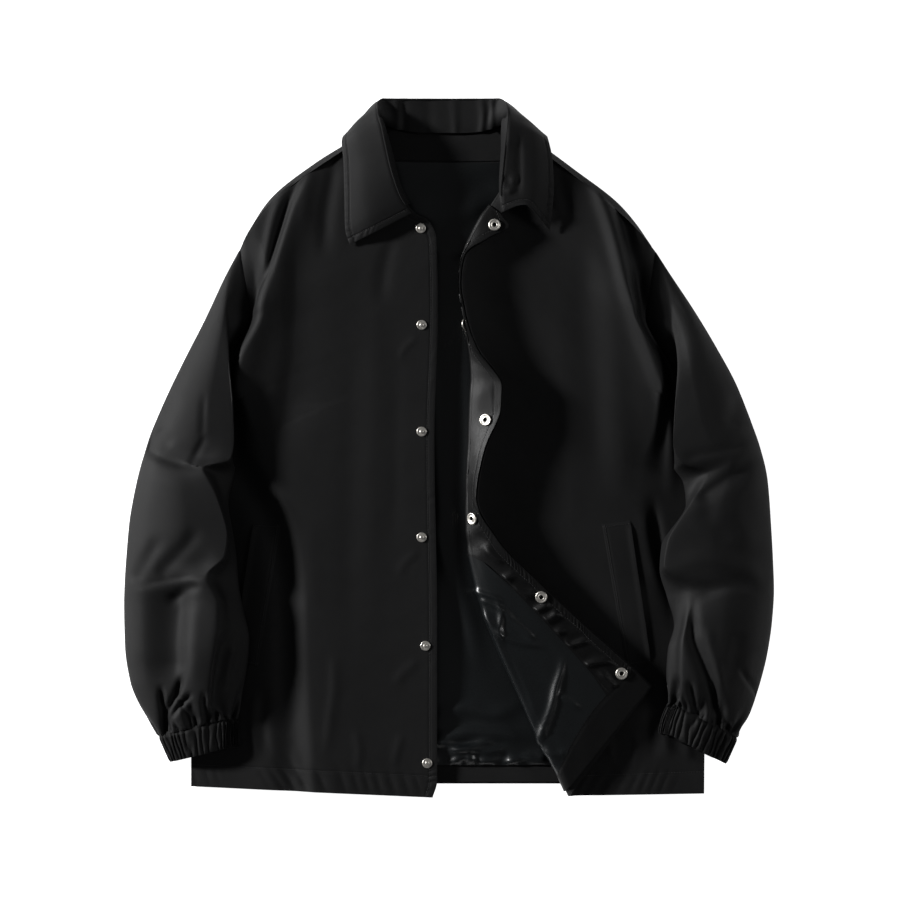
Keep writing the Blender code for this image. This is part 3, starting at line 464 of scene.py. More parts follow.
def tube(rings, armhole=False):
    """Flattened tube: along 0..1, around 0..8 from the under seam by the outer edge and back."""
    def row(around, along):
        r = row_at(rings, along)
        inner = np.array([r.inner_x, r.inner_y, r.inner_z])
        outer = np.array([r.outer_x, r.outer_y, r.outer_z])
        ridge = np.array([r.ridge_x, r.ridge_y, r.ridge_z])
        loop = [inner, mix(inner, outer, REST_SHARE) * (1, 1, 0), mix(inner, outer, REST_EDGE) * (1, 1, 0),
                outer, mix(outer, ridge, CROWN_FROM), mix(outer, ridge, CROWN_TOP), ridge,
                mix(ridge, inner, 0.5)]
        loop[4][2] = outer[2] + CROWN_RISE * (r.crown - outer[2])
        loop[5][2] = r.crown
        points = curve(range(-2, 11), loop[6:] + loop + loop[:3], around)
        if not armhole or along > 0:
            points[:, 2] = np.maximum(points[:, 2], over_body(points))
        return points
    return row


sleeve_right = tube(SLEEVE_RIGHT, armhole=True)
sleeve_left = tube(SLEEVE_LEFT, armhole=True)


def side_of(table, sleeve, at):
    """Side edge of a front: the armhole from the sleeve's first ring, then the side seam."""
    row = row_at(table, at)
    if at < ARM_SHARE:
        return row, sleeve(3 + 5 * at / ARM_SHARE, 0.0)[0]
    return row, np.array([row.x, row.y, row.z])


def bow(most, us, v):
    """Outward curve of a front's shoulder seam, fullest a third of the way in."""
    lift = abs(most) * BOW_FULL * us * (1 - us) ** 2 * (1 - ease(v / BOW_END))
    return lift[:, None] * np.array([math.copysign(SHOULDER_OUT[0], most), SHOULDER_OUT[1], 0.0])


def front_right(us, v):
    """Outer face of the plain front: u from side to front edge, v from shoulder to hem."""
    row, side = side_of(SIDES_RIGHT, sleeve_right, v)
    e = row_at(EDGES_RIGHT, v)
    edge = np.array([e.x, e.y, e.z])
    side = side + SEAM * unit((edge - side) * (1, 1, 0))
    points = mix(side, edge, us[:, None]) + bow(BOW_RIGHT, us, v)
    heights = [side[2], row.foot_z, row.fold_z, row.middle_z, edge[2]]
    points[:, 2] = curve([0.0, row.foot, row.fold, MIDDLE_SHARE, 1.0], heights, us)[:, 0]
    return points


def front_left(us, v):
    """Outer face of the turned front: u 0..1 from side to fold, 1..2 on to the free edge."""
    row, side = side_of(SIDES_LEFT, sleeve_left, v)
    p = row_at(LAPELS, v)
    fold = np.array([p.fold_x, p.fold_y, p.fold_z])
    edge = np.array([p.edge_x, p.edge_y, p.edge_z])
    side = side + SEAM * unit((fold - side) * (1, 1, 0))
    span = np.linalg.norm((fold - side)[:2])
    flap = max(np.linalg.norm(edge - fold), 1e-6)
    lead = 1 - p.lead / span
    near = 1 - ROLL_RUN * p.roll / span
    after = min(ROLL_RUN * p.roll / flap, ROLL_MOST)
    rise = ROLL_RISE * p.roll
    shares = [0.0, row.foot, row.fold, 0.5 * (row.fold + lead), lead, near, 1.0]
    heights = [side[2], row.foot_z, row.fold_z, row.middle_z, p.base_z, fold[2] - rise, fold[2]]
    points = [mix(side, fold, share) for share in shares]
    for point, height in zip(points, heights):
        point[2] = height
    turn = mix(fold, edge, after)
    turn[2] = max(turn[2], fold[2] + rise)
    across = curve(shares + [1 + after, 2.0], points + [turn, edge], us)
    return across + bow(BOW_LEFT, np.minimum(us, 1.0), v)


def flap_width(v):
    p = row_at(LAPELS, v)
    return math.dist((p.fold_x, p.fold_y, p.fold_z), (p.edge_x, p.edge_y, p.edge_z))


def back(us, v):
    """Outer (under) face of the back: u from one side to the other, v from hem to neck."""
    start, stop = BACK_ARM
    ends = []
    for sign, sides, sleeve, front in ((-1, SIDES_RIGHT, sleeve_right, front_right),
                                       (1, SIDES_LEFT, sleeve_left, front_left)):
        inward = np.array([-sign, 0.0, 0.0])
        if v <= start:
            row = row_at(sides, 1 - (1 - ARM_SHARE) * v / start)
            edge = np.array([row.x, mix(BACK_HEM_Y, UNDERARM_Y, v / start), 0.0])
        elif v <= stop:
            edge = sleeve(3 * (v - start) / (stop - start), 0.0)[0]
        if v <= stop:
            edge = edge + (SEAM + ARM_CLEAR * ease((v - stop + CLEAR_FROM) / CLEAR_RUN)) * inward
            bend = edge + (BEND_LEAST + BEND_MORE * ease((stop - v) / BEND_RUN)) * inward
            edge[2] = min(edge[2], BACK_CORNER)
            bend[2] = BEND_RISE * edge[2]
        else:
            share = (v - stop) / (1 - stop)
            s = row_at(SHOULDERS, share)
            seam = front(np.array([share]), 0.0)[0]
            outward = np.array([SHOULDER_OUT[0] * sign, SHOULDER_OUT[1], 0.0])
            close = ease(share / SHOULDER_CLOSE)
            edge = seam + SHOULDER_GAP * close * outward
            bend = np.array([s.left_x, s.left_y, RIM_Z] if sign < 0 else [s.right_x, s.right_y, RIM_Z])
            bend = mix(edge, bend, close)
        under = bend + np.array([-sign * UNDER_IN, -UNDER_DOWN * ease((v - stop) / UNDER_RUN), 0.0])
        under[2] = 0.0
        ends.append((edge, bend, under))
    (a, b, c), (f, e, d) = ends
    points = curve(BACK_LINES, [a, b, c, mix(c, d, 0.5), d, e, f], us)
    across = np.minimum(np.abs(2 * us - 1) / NECK_SHARE, 1.0)
    points[:, 1] -= NECK_DIP * (1 - across ** 4) * ease((v - NECK_FROM) / NECK_RUN)
    points[:, 2] += NECK_LIFT * ease((points[:, 1] - NECK_LIFT_Y) / NECK_LIFT_RUN)
    return points


def collar_leaf(ws, s):
    c = row_at(COLLAR, s)
    roll = (c.roll_x, c.roll_y, c.roll_z)
    mid = (c.mid_x, c.mid_y, c.mid_z)
    edge = (c.edge_x, c.edge_y, c.edge_z)
    return curve([0.0, 0.5, 1.0], [roll, mid, edge], ws)


def neckline(s):
    """Neck edge of the sewn body, in the collar's measure."""
    if s < 1 / 3:
        return front_right(np.array([1.0]), NECK_END * (1 - 3 * s))[0]
    if s > 2 / 3:
        return front_left(np.array([2.0]), NECK_END * (3 * s - 2))[0]
    return back(np.array([3 * s - 1]), 1.0)[0]


def collar_stand(ws, s):
    """Band between neckline and roll, held off where the shoulder seams come in."""
    lift = STAND_OFF * sum(math.exp(-((s - at) / STAND_OFF_RUN) ** 2) for at in (1 / 3, 2 / 3))
    return mix(neckline(s), collar_leaf(0.0, s)[0], (ws + lift * (1 - ws))[:, None])


# Cloth: a grid of points with its outward normals


Cloth = namedtuple("Cloth", "us vs points normals")


def normals_of(points, side):
    across = np.gradient(points, axis=1)
    along = np.gradient(points, axis=0)
    return side * unit(np.cross(across, along))


def lay(row, us, vs, side=1):
    """A grid on a surface; side says which of its faces is the outer one."""
    us, vs = np.asarray(us, float), np.asarray(vs, float)
    points = np.stack([row(us, v) for v in vs])
    return Cloth(us, vs, points, normals_of(points, side))


def raised(cloth, height, side=1):
    """The cloth moved out along its normals."""
    points = cloth.points + np.broadcast_to(height, cloth.points.shape[:2])[..., None] * cloth.normals
    return Cloth(cloth.us, cloth.vs, points, normals_of(points, side))


def tucked(cloth, reach, drop):
    """The cloth with its first row carried on under its neighbour, so that no seam gapes."""
    points = cloth.points.copy()
    reach = np.broadcast_to(reach, points.shape[1])[:, None]
    points[0] += reach * unit(points[0] - points[1]) - drop * cloth.normals[0]
    return cloth._replace(points=points)


def spread(*pieces):
    """Grid lines: (start, stop, count) runs joined end to end."""
    lines = [pieces[0][0]]
    for start, stop, count in pieces:
        lines += [start + (stop - start) * (k + 1) / count for k in range(count)]
    return np.array(lines)


def sample(cloth, u, v):
    """Points and normals of a cloth at places between its grid lines."""
    x = np.interp(u, cloth.us, np.arange(len(cloth.us)))
    y = np.interp(v, cloth.vs, np.arange(len(cloth.vs)))
    j = np.minimum(x.astype(int), len(cloth.us) - 2)
    i = np.minimum(y.astype(int), len(cloth.vs) - 2)
    fx, fy = (x - j)[..., None], (y - i)[..., None]
    found = []
    for field in (cloth.points, cloth.normals):
        low = field[i, j] * (1 - fx) + field[i, j + 1] * fx
        high = field[i + 1, j] * (1 - fx) + field[i + 1, j + 1] * fx
        found.append(low * (1 - fy) + high * fy)
    return found[0], unit(found[1])


def find(cloth, xy, u, v):
    """Places on a cloth that lie at given points seen from above."""
    u, v = np.full(len(xy), u), np.full(len(xy), v)
    for _ in range(FIND_ROUNDS):
        here = sample(cloth, u, v)[0][:, :2]
        du = (sample(cloth, u + FIND_STEP, v)[0][:, :2] - here) / FIND_STEP
        dv = (sample(cloth, u, v + FIND_STEP)[0][:, :2] - here) / FIND_STEP
        miss = xy - here
        turn = du[:, 0] * dv[:, 1] - du[:, 1] * dv[:, 0]
        u = np.clip(u + FIND_MOVE * (miss[:, 0] * dv[:, 1] - miss[:, 1] * dv[:, 0]) / turn, *FIND_LIMITS)
        v = np.clip(v + FIND_MOVE * (du[:, 0] * miss[:, 1] - du[:, 1] * miss[:, 0]) / turn, *FIND_LIMITS)
    return u, v


def measure(points, axis, from_end=False):
    """Length along the cloth from the first or last grid line."""
    if from_end:
        return np.flip(measure(np.flip(points, axis), axis), axis)
    steps = np.linalg.norm(np.diff(points, axis=axis), axis=-1)
    zero = np.zeros_like(np.take(steps, [0], axis))
    return np.cumsum(np.concatenate([zero, steps], axis), axis)


def creases(points, table):
    """Height of all the creases of a table at each point of a grid."""
    xy = points[..., :2].reshape(-1, 2)
    height = np.zeros(len(xy))
    for crease in table:
        path = curve(np.linspace(0, 1, len(crease.path)), crease.path, np.linspace(0, 1, CREASE_STEPS))
        reach = CREASE_REACH * max(crease.left, crease.right)
        near = np.all((xy > path.min(0) - reach) & (xy < path.max(0) + reach), axis=1)
        if not near.any():
            continue
        gap = xy[near][:, None] - path
        k = (gap ** 2).sum(-1).argmin(1)
        way = np.gradient(path, axis=0)[k]
        gap = gap[np.arange(len(k)), k]
        length = np.linalg.norm(way, axis=1)
        off = (way[:, 0] * gap[:, 1] - way[:, 1] * gap[:, 0]) / length
        place = (k + (way * gap).sum(1) / length ** 2) / (len(path) - 1)
        width = np.where(off > 0, crease.left, crease.right)
        fade = ease(place / CREASE_FADE) * ease((1 - place) / CREASE_FADE)
        height[near] += crease.height * fade * np.exp(-(off / width) ** 2)
    return height.reshape(points.shape[:2])


def wander(s, seed):
    """A slow uneven wave between -1 and 1."""
    return 0.6 * np.sin(s + 2.1 * seed) + 0.4 * np.sin(2.3 * s + 1.3 * seed + 0.8)


def stitched(edge, run, inset, pucker, pitch, seed, lean=0.7, even=0.4):
    """Height near a stitched edge: the sunk line, the thin edge and slanting puckers between them."""
    groove = -GROOVE * np.exp(-((edge - inset) / GROOVE_WIDTH) ** 2)
    rim = -EDGE_DROP * np.exp(-(edge / EDGE_WIDTH) ** 2)
    slant = run + lean * edge * (1 + 0.9 * wander(run / (4 * pitch), seed + 1))
    phase = math.pi * slant / pitch + 1.6 * wander(slant / (1.9 * pitch), seed)
    wave = np.abs(np.sin(phase)) ** 0.8 - 0.6
    uneven = np.clip(even + 0.9 * wander(run / (2.7 * pitch), seed + 3), 0.0, 1.2)
    middle = PUCKER_MIDDLE * inset
    return groove + rim + pucker * wave * uneven * np.exp(-((edge - middle) / middle) ** 2)


# Materials
NOISE_LOW, NOISE_HIGH = 0.3, 0.7
TONE_SPREAD, WEAR_TONE = 0.3, 0.4


def add(tree, kind, inputs=None, **settings):
    node = tree.nodes.new(kind)
    for name, value in settings.items():
        setattr(node, name, value)
    for name, value in (inputs or {}).items():
        if isinstance(value, bpy.types.NodeSocket):
            tree.links.new(value, node.inputs[name])
        else:
            node.inputs[name].default_value = value
    return node


def new_material(name):
    material = bpy.data.materials.new(name)
    material.use_nodes = True
    return material, material.node_tree, material.node_tree.nodes["Principled BSDF"]


def noise(tree, place, scale, detail, rough=0.5):
    inputs = {"Vector": place, "Scale": scale, "Detail": detail, "Roughness": rough}
    return add(tree, "ShaderNodeTexNoise", inputs).outputs["Fac"]


def ranged(tree, value, low, high, start=NOISE_LOW, stop=NOISE_HIGH):
    """A value brought to a range, from the limits that most noise lies between."""
    inputs = {"Value": value, "From Min": start, "From Max": stop, "To Min": low, "To Max": high}
    return add(tree, "ShaderNodeMapRange", inputs).outputs[0]


def bumped(tree, height, strength, distance, under=None):
    """Normals of a bump, on top of another one if there is one."""
    inputs = {"Height": height, "Strength": strength, "Distance": distance}
    if under is not None:
        inputs["Normal"] = under
    return add(tree, "ShaderNodeBump", inputs).outputs[0]


def tinted(tree, shader, colour, shade):
    """Base colour made lighter and darker by a shade."""
    tint = add(tree, "ShaderNodeVectorMath", {0: colour, "Scale": shade}, operation="SCALE")
    tree.links.new(tint.outputs[0], shader.inputs["Base Color"])


def cloth_material(name, colour, rough, gloss, thread, weave, crumple):
    """Woven cloth: threads across and along, uneven tone, fine crumples and worn edges."""
    material, tree, shader = new_material(name)
    uv = add(tree, "ShaderNodeUVMap", uv_map="cloth").outputs["UV"]
    bands = {"Vector": uv, "Scale": 2 * math.pi / 20 / (thread * MM)}
    warp = add(tree, "ShaderNodeTexWave", bands, bands_direction="X").outputs["Fac"]
    weft = add(tree, "ShaderNodeTexWave", bands, bands_direction="Y").outputs["Fac"]
    threads = add(tree, "ShaderNodeMath", {0: warp, 1: weft}, operation="MULTIPLY").outputs[0]
    tone = noise(tree, uv, 28.0, 6.0, 0.6)
    grain = noise(tree, uv, 700.0, 3.0, 0.7)
    both = add(tree, "ShaderNodeMath", {0: tone, 1: grain}, operation="ADD").outputs[0]
    shade = ranged(tree, both, 1 - TONE_SPREAD, 1 + TONE_SPREAD, start=0.6, stop=1.4)
    wear = add(tree, "ShaderNodeAttribute", attribute_name="wear").outputs["Fac"]
    worn = add(tree, "ShaderNodeMath", {0: wear, 1: WEAR_TONE, 2: shade}, operation="MULTIPLY_ADD")
    tinted(tree, shader, colour, worn.outputs[0])
    tree.links.new(ranged(tree, grain, rough - 0.06, rough + 0.08), shader.inputs["Roughness"])
    soft = bumped(tree, noise(tree, uv, 60.0, 4.0, 0.55), crumple, 0.002)
    tree.links.new(bumped(tree, threads, weave, 0.0002, soft), shader.inputs["Normal"])
    shader.inputs["Specular IOR Level"].default_value = gloss
    return material


def metal_material(name, colour, rough):
    """Polished plated metal with fine rubbed marks."""
    material, tree, shader = new_material(name)
    place = add(tree, "ShaderNodeTexCoord").outputs["Object"]
    marks = noise(tree, place, 900.0, 5.0, 0.65)
    tarnish = noise(tree, place, 240.0, 3.0)
    tinted(tree, shader, colour, ranged(tree, tarnish, 0.8, 1.05))
    tree.links.new(ranged(tree, marks, rough - 0.08, rough + 0.14), shader.inputs["Roughness"])
    tree.links.new(bumped(tree, marks, 0.12, 0.0002), shader.inputs["Normal"])
    shader.inputs["Metallic"].default_value = 1.0
    return material


def thread_material(name, colour):
    """Twisted thread, lighter and darker along its turns."""
    material, tree, shader = new_material(name)
    place = add(tree, "ShaderNodeTexCoord").outputs["Object"]
    tinted(tree, shader, colour, ranged(tree, noise(tree, place, 1500.0, 2.0), 0.6, 1.4, start=0.0, stop=1.0))
    shader.inputs["Roughness"].default_value = 0.55
    return material


SHELL = cloth_material("black_nylon_shell", (0.0052, 0.0052, 0.0054), 0.64, 0.17, 0.55, 0.3, 0.05)
FACING = cloth_material("black_nylon_facing", (0.0027, 0.0027, 0.0028), 0.43, 0.17, 0.4, 0.2, 0.08)
SATIN = cloth_material("black_satin_lining", (0.0028, 0.0037, 0.0042), 0.32, 0.5, 0.3, 0.1, 0.06)
KNIT = cloth_material("black_elastic_cuff", (0.0028, 0.0028, 0.0029), 0.62, 0.12, 0.55, 0.35, 0.08)
NICKEL = metal_material("nickel_snap", (0.90, 0.86, 0.79), 0.36)
THREAD_BLACK = thread_material("black_thread", (0.004, 0.004, 0.0042))


# Meshes
STITCH_SIDES = 6
STITCH_RINGS = ((0.0, 0.0), (0.12, 0.8), (0.5, 1.0), (0.88, 0.8), (1.0, 0.0))
SNAP_STEPS, SNAP_MERGE = 40, 0.00001


def mesh_object(name, points, faces, material):
    mesh = bpy.data.meshes.new(name)
    mesh.from_pydata((np.asarray(points) * MM).tolist(), [], faces)
    mesh.materials.append(material)
    mesh.shade_smooth()
    thing = bpy.data.objects.new(name, mesh)
    bpy.context.scene.collection.objects.link(thing)
    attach(thing, "root")
    return thing


def make(name, node, cloth, thickness, material, side=1, closed=False, wear=None):
    """A cloth shell that stands for its solid, with crisp cut edges."""
    rows, columns = cloth.points.shape[:2]
    wide = columns - 1 if closed else columns
    i, j = np.meshgrid(np.arange(rows - 1), np.arange(columns - 1), indexing="ij")
    corners = [(i, j), (i, j + 1), (i + 1, j + 1), (i + 1, j)]
    if side < 0:
        corners.reverse()
    index = np.stack([a * wide + b % wide for a, b in corners], axis=-1).reshape(-1, 4)
    thing = mesh_object(name, cloth.points[:, :wide].reshape(-1, 3), index.tolist(), material)
    mesh = thing.data
    u = measure(cloth.points, 1) * MM
    v = measure(cloth.points, 0) * MM
    places = np.stack([np.stack([u[a, b], v[a, b]], axis=-1) for a, b in corners], axis=-2)
    mesh.uv_layers.new(name="cloth").data.foreach_set("uv", places.reshape(-1).astype(np.float32))
    rubbed = np.zeros((rows, columns)) if wear is None else wear
    mesh.attributes.new("wear", "FLOAT", "POINT").data.foreach_set(
        "value", rubbed[:, :wide].reshape(-1).astype(np.float32))
    used = np.zeros(len(mesh.loops), np.int32)
    mesh.loops.foreach_get("edge_index", used)
    rims = np.bincount(used, minlength=len(mesh.edges)) == 1
    mesh.attributes.new("sharp_edge", "BOOLEAN", "EDGE").data.foreach_set("value", rims)
    solid = thing.modifiers.new("thickness", "SOLIDIFY")
    solid.thickness = thickness * MM
    solid.offset = -1.0
    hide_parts(node)
    return thing


def worn_edges(*gaps):
    """Wear along two edges, from the distances to them."""
    return np.maximum(*(np.exp(-gap / WEAR_REACH) for gap in gaps))


def stitches(name, lines):
    """Short thread stitches along lines of (points, normals)."""
    turns = [2 * math.pi * k / STITCH_SIDES for k in range(STITCH_SIDES)]
    points, faces = [], []
    for path, normals in lines:
        run = measure(path[None], 1)[0]
        for start in np.arange(STITCH_START, run[-1] - STITCH_LENGTH, STITCH_PITCH):
            ends = [np.array([np.interp(at, run, path[:, k]) for k in range(3)])
                    for at in (start, start + STITCH_LENGTH)]
            up = unit(np.array([np.interp(start, run, normals[:, k]) for k in range(3)]))
            way = unit(ends[1] - ends[0])
            out = np.cross(way, up)
            base = len(points)
            for share, swell in STITCH_RINGS:
                lift = THREAD_LIFT + THREAD_BULGE * math.sin(math.pi * share)
                middle = mix(ends[0], ends[1], share) + up * lift
                radius = THREAD * max(swell, THREAD_TIP)
                points += [middle + radius * (math.cos(turn) * out + math.sin(turn) * up) for turn in turns]
            for ring in range(len(STITCH_RINGS) - 1):
                first = base + ring * STITCH_SIDES
                for k in range(STITCH_SIDES):
                    a, b = first + k, first + (k + 1) % STITCH_SIDES
                    faces.append((a, b, b + STITCH_SIDES, a + STITCH_SIDES))
            last = base + (len(STITCH_RINGS) - 1) * STITCH_SIDES
            faces.append(tuple(base + k for k in reversed(range(STITCH_SIDES))))
            faces.append(tuple(last + k for k in range(STITCH_SIDES)))
    return mesh_object(name, points, faces, THREAD_BLACK)


def places_at(inset, gaps, lines, from_end):
    """Where each row of distances reaches the inset, in the measure of the grid lines."""
    if from_end:
        return np.array([np.interp(inset, row[::-1], lines[::-1]) for row in gaps])
    return np.array([np.interp(inset, row, lines) for row in gaps])


def line_down(cloth, inset, from_end=True):
    """Line at a set distance from a cloth's first or last column."""
    far = measure(cloth.points, 1, from_end)
    return sample(cloth, places_at(inset, far, cloth.us, from_end), cloth.vs)


def line_across(cloth, inset, from_end=True):
    """Line at a set distance from a cloth's first or last row."""
    far = measure(cloth.points, 0, from_end)
    return sample(cloth, cloth.us, places_at(inset, far.T, cloth.vs, from_end))


def part_of_line(line, start, stop):
    """A stretch of a line, by shares of its length."""
    count = len(line[0])
    return tuple(field[int(start * count):int(stop * count)] for field in line)


def turned(name, node, profile, place, facing):
    """A turned metal part: a profile of (radius, height), outer side downward, spun about its axis."""
    points = [(radius, 0.0, height) for radius, height in profile]
    mesh = bpy.data.meshes.new(name)
    mesh.from_pydata((np.array(points) * MM).tolist(), [(k, k + 1) for k in range(len(points) - 1)], [])
    mesh.materials.append(NICKEL)
    thing = bpy.data.objects.new(name, mesh)
    bpy.context.scene.collection.objects.link(thing)
    spin = thing.modifiers.new("spin", "SCREW")
    spin.steps = SNAP_STEPS
    spin.render_steps = SNAP_STEPS
    spin.use_merge_vertices = True
    spin.merge_threshold = SNAP_MERGE
    spin.use_smooth_shade = True
    thing.location = Vector(place) * MM
    thing.rotation_euler = Vector(facing).to_track_quat("Z", "Y").to_euler()
    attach(thing, "root")
    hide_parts(node)
    return thing


# Fronts: puckers along the hem, and the tuck under the back at the shoulder seam
HEM_PUCKER = {"pucker": 1.6, "pitch": 15.0, "lean": 0.35, "even": 0.55}
TUCK_SHARE, TUCK_DROP = 0.3, 0.8
ON_BODY_RUN = 0.06
EDGE_WAVE, EDGE_WAVE_RUN = 0.15, 9
front_v = spread((0, ARM_SHARE, 110), (ARM_SHARE, 0.945, 142), (0.945, 1.0, 32))


def tucked_front(cloth):
    """A front carried on under the back, less towards the armhole."""
    return tucked(cloth, SEAM_REACH * ease(cloth.us / TUCK_SHARE), TUCK_DROP)


# Plain front
front_u = spread((0, 0.3, 44), (0.3, 0.9, 62), (0.9, 1.0, 20))
flat_front = lay(front_right, front_u, front_v, side=-1)
edge_gap = measure(flat_front.points, 1, from_end=True)
hem_gap = measure(flat_front.points, 0, from_end=True)
down = measure(flat_front.points, 0)
across = measure(flat_front.points, 1)
lift = creases(flat_front.points, CREASES_FRONT_RIGHT)
lift += stitched(edge_gap, down, TOPSTITCH, 0.8, 9.0, 1, even=0.6)
lift += stitched(hem_gap, across, HEM_STITCH, seed=2, **HEM_PUCKER)
plain_front = raised(flat_front, lift, side=-1)
front_right_piece = make("front_right_cloth", "front_right", tucked_front(plain_front), CLOTH, SHELL,
                         side=-1, wear=worn_edges(edge_gap, hem_gap))

# Turned front, its creases raised straight up
lapel_u = spread((0, 0.32, 46), (0.32, 0.92, 50), (0.92, 1.0, 10), (1.0, FLAP_START, 8),
                 (FLAP_START, 2.0, 26))
flat_lapel = lay(front_left, lapel_u, front_v)
edge_gap = measure(flat_lapel.points, 1, from_end=True)
hem_gap = measure(flat_lapel.points, 0, from_end=True)
down = measure(flat_lapel.points, 0)
across = measure(flat_lapel.points, 1)
on_body = ease((1.0 - lapel_u) / ON_BODY_RUN)[None, :]
folds = creases(flat_lapel.points, CREASES_FRONT_LEFT) * on_body
lift = stitched(hem_gap, across, HEM_STITCH, seed=5, **HEM_PUCKER) * on_body
lift += EDGE_WAVE * wander(down / EDGE_WAVE_RUN, 4) * np.exp(-edge_gap / EDGE_WAVE_RUN)
creased_lapel = flat_lapel._replace(points=flat_lapel.points + folds[..., None] * (0.0, 0.0, 1.0))
turned_front = raised(creased_lapel, lift)
front_left_piece = make("front_left_cloth", "front_left", tucked_front(turned_front), CLOTH, SHELL,
                        wear=worn_edges(edge_gap, hem_gap))

# Sleeves
GATHERS = 20
GATHER_SWELL, GATHER_SWELL_RUN = 1.6, 24
GATHER_SHIFT, GATHER_LEAN = 0.35, 0.3
GATHER_DEPTH, GATHER_REACH = (2.5, 5.5), (10, 34)
GATHER_WIDTH, GATHER_OPENING = 1.6, 0.14
HOLLOW_FROM, HOLLOW_RUN = 6, 20
SLEEVE_DROP = 1.0
around_lines = spread((0.0, 3.0, 40), (3.0, 8.0, 76))
sleeve_v = spread((0, 0.84, 160), (0.84, 1.0, 48))


def gathers(cloth, seed):
    """Bunched cloth above the cuff: wedge-shaped valleys that open and die out up the sleeve."""
    rng = np.random.default_rng(seed)
    rise = measure(cloth.points, 0, from_end=True)
    along = measure(cloth.points, 1)
    share = along / along[:, -1:]
    height = GATHER_SWELL * np.exp(-(rise / GATHER_SWELL_RUN) ** 2)
    for k in range(GATHERS):
        place = (k + rng.uniform(-GATHER_SHIFT, GATHER_SHIFT)) / GATHERS
        depth = rng.uniform(*GATHER_DEPTH)
        reach = rng.uniform(*GATHER_REACH)
        lean = rng.uniform(-GATHER_LEAN, GATHER_LEAN)
        off = ((share - place + 0.5) % 1.0 - 0.5) * along[:, -1:] - lean * rise
        width = GATHER_WIDTH + GATHER_OPENING * rise
        height -= depth * np.exp(-(off / width) ** 2 - (rise / reach) ** 2)
    return height * ease(rise / 5 + 0.4)


def sleeve_cloth(row, table, hollow, side, seed):
    """A sleeve's tube, creased on its upper side only, with its hollows sunk straight down."""
    base = lay(row, around_lines, sleeve_v, side)
    height = base.points[..., 2]
    upper = ease((base.normals[..., 2] + 0.1) / 0.5)
    lift = creases(base.points, table) * upper + gathers(base, seed) * ease((height - 1) / 4)
    cloth = raised(base, lift, side)
    sunk = creases(base.points, hollow) * np.clip((height - HOLLOW_FROM) / HOLLOW_RUN, 0.0, 1.0)
    cloth.points[..., 2] = np.maximum(cloth.points[..., 2] + sunk, 0.0)
    return tucked(cloth, SEAM_REACH, SLEEVE_DROP)


right_sleeve = sleeve_cloth(sleeve_right, CREASES_SLEEVE_RIGHT, [], -1, 1)
left_sleeve = sleeve_cloth(sleeve_left, CREASES_SLEEVE_LEFT, HOLLOW_SLEEVE_LEFT, 1, 5)
sleeve_right_piece = make("sleeve_right_cloth", "sleeve_right", right_sleeve, CLOTH, SHELL, -1, True)
sleeve_left_piece = make("sleeve_left_cloth", "sleeve_left", left_sleeve, CLOTH, SHELL, 1, True)

# Cuffs
CUFF_RIBS, RIB_HEIGHT, RIB_SINK = 34, 2.1, 1.4
CUFF_DROP = 2.0
cuff_around = spread((0.0, 3.0, 110), (3.0, 8.0, 190))
cuff_v = spread((0, 1, 18))


def cuff_cloth(rings, side, seed):
    """Cloth drawn up on elastic into close upright ribs."""
    base = lay(tube(rings), cuff_around, cuff_v, side)
    turn = base.us[None, :] / 8
    share = base.vs[:, None]
    ribs = CUFF_RIBS * turn + 0.35 * wander(9 * turn * math.pi, seed)
    rib = np.abs(np.cos(math.pi * (ribs + 0.25 * wander(3 * share + 40 * turn, seed))))
    ends = ease(share / 0.12) * ease((1 - share) / 0.1)
    lift = (RIB_HEIGHT * rib ** 0.8 - RIB_SINK) * (0.45 + 0.55 * ends) + 0.5 * ends - 0.35
    cloth = raised(base, lift * ease((base.points[..., 2] + 0.5) / 3), side)
    cloth.points[..., 2] = np.maximum(cloth.points[..., 2], 0.0)
    return tucked(cloth, SEAM_REACH, CUFF_DROP)


right_cuff = cuff_cloth(CUFF_RIGHT, -1, 2)
left_cuff = cuff_cloth(CUFF_LEFT, 1, 7)
cuff_right_piece = make("cuff_right_cloth", "cuff_right", right_cuff, CUFF_CLOTH, KNIT, -1, True)
cuff_left_piece = make("cuff_left_cloth", "cuff_left", left_cuff, CUFF_CLOTH, KNIT, 1, True)

# Back, with its lining, neck facing and hem, each cut between places across and along it
LINING_CUT = (0.17, 0.83, 0.024, 0.952)
NECK_CUT = (0.12, 0.88, 0.955, 0.997)
HEM_CUT = (0.17, 0.83, 0.001, 0.0226)
OPENING_LEFT, OPENING_RIGHT, OPENING_FADE = -40, 135, 30
LINING_GATHER, LINING_GATHER_TOP, LINING_GATHER_FOOT = 2.4, 22, 3
LINING_RIM, LINING_SLACK = 10, 0.5
back_u = spread((0.0, 0.08, 10), (0.08, 0.92, 40), (0.92, 1.0, 10))
back_v = spread((0.0, 0.5, 30), (0.5, 0.8, 30), (0.8, 0.825, 4), (0.825, 1.0, 30))
back_cloth = lay(back, back_u, back_v, side=-1)
back_piece = make("back_panel_cloth", "back_panel", back_cloth, CLOTH, SHELL, side=-1)
inside_u = spread((0.12, 0.17, 4), (0.17, 0.34, 16), (0.34, 0.66, 60), (0.66, 0.83, 16), (0.83, 0.88, 4))
inside_v = spread((0.0, 0.06, 24), (0.06, 0.94, 150), (0.94, 1.0, 16))
inside = raised(lay(back, inside_u, inside_v), CLOTH + GAP + LINER)


def cut(cloth, u0, u1, v0, v1):
    """The part of a cloth between grid places."""
    keep_u = (cloth.us > u0 - 1e-6) & (cloth.us < u1 + 1e-6)
    keep_v = (cloth.vs > v0 - 1e-6) & (cloth.vs < v1 + 1e-6)
    rows = np.ix_(keep_v, keep_u)
    return Cloth(cloth.us[keep_u], cloth.vs[keep_v], cloth.points[rows], cloth.normals[rows])


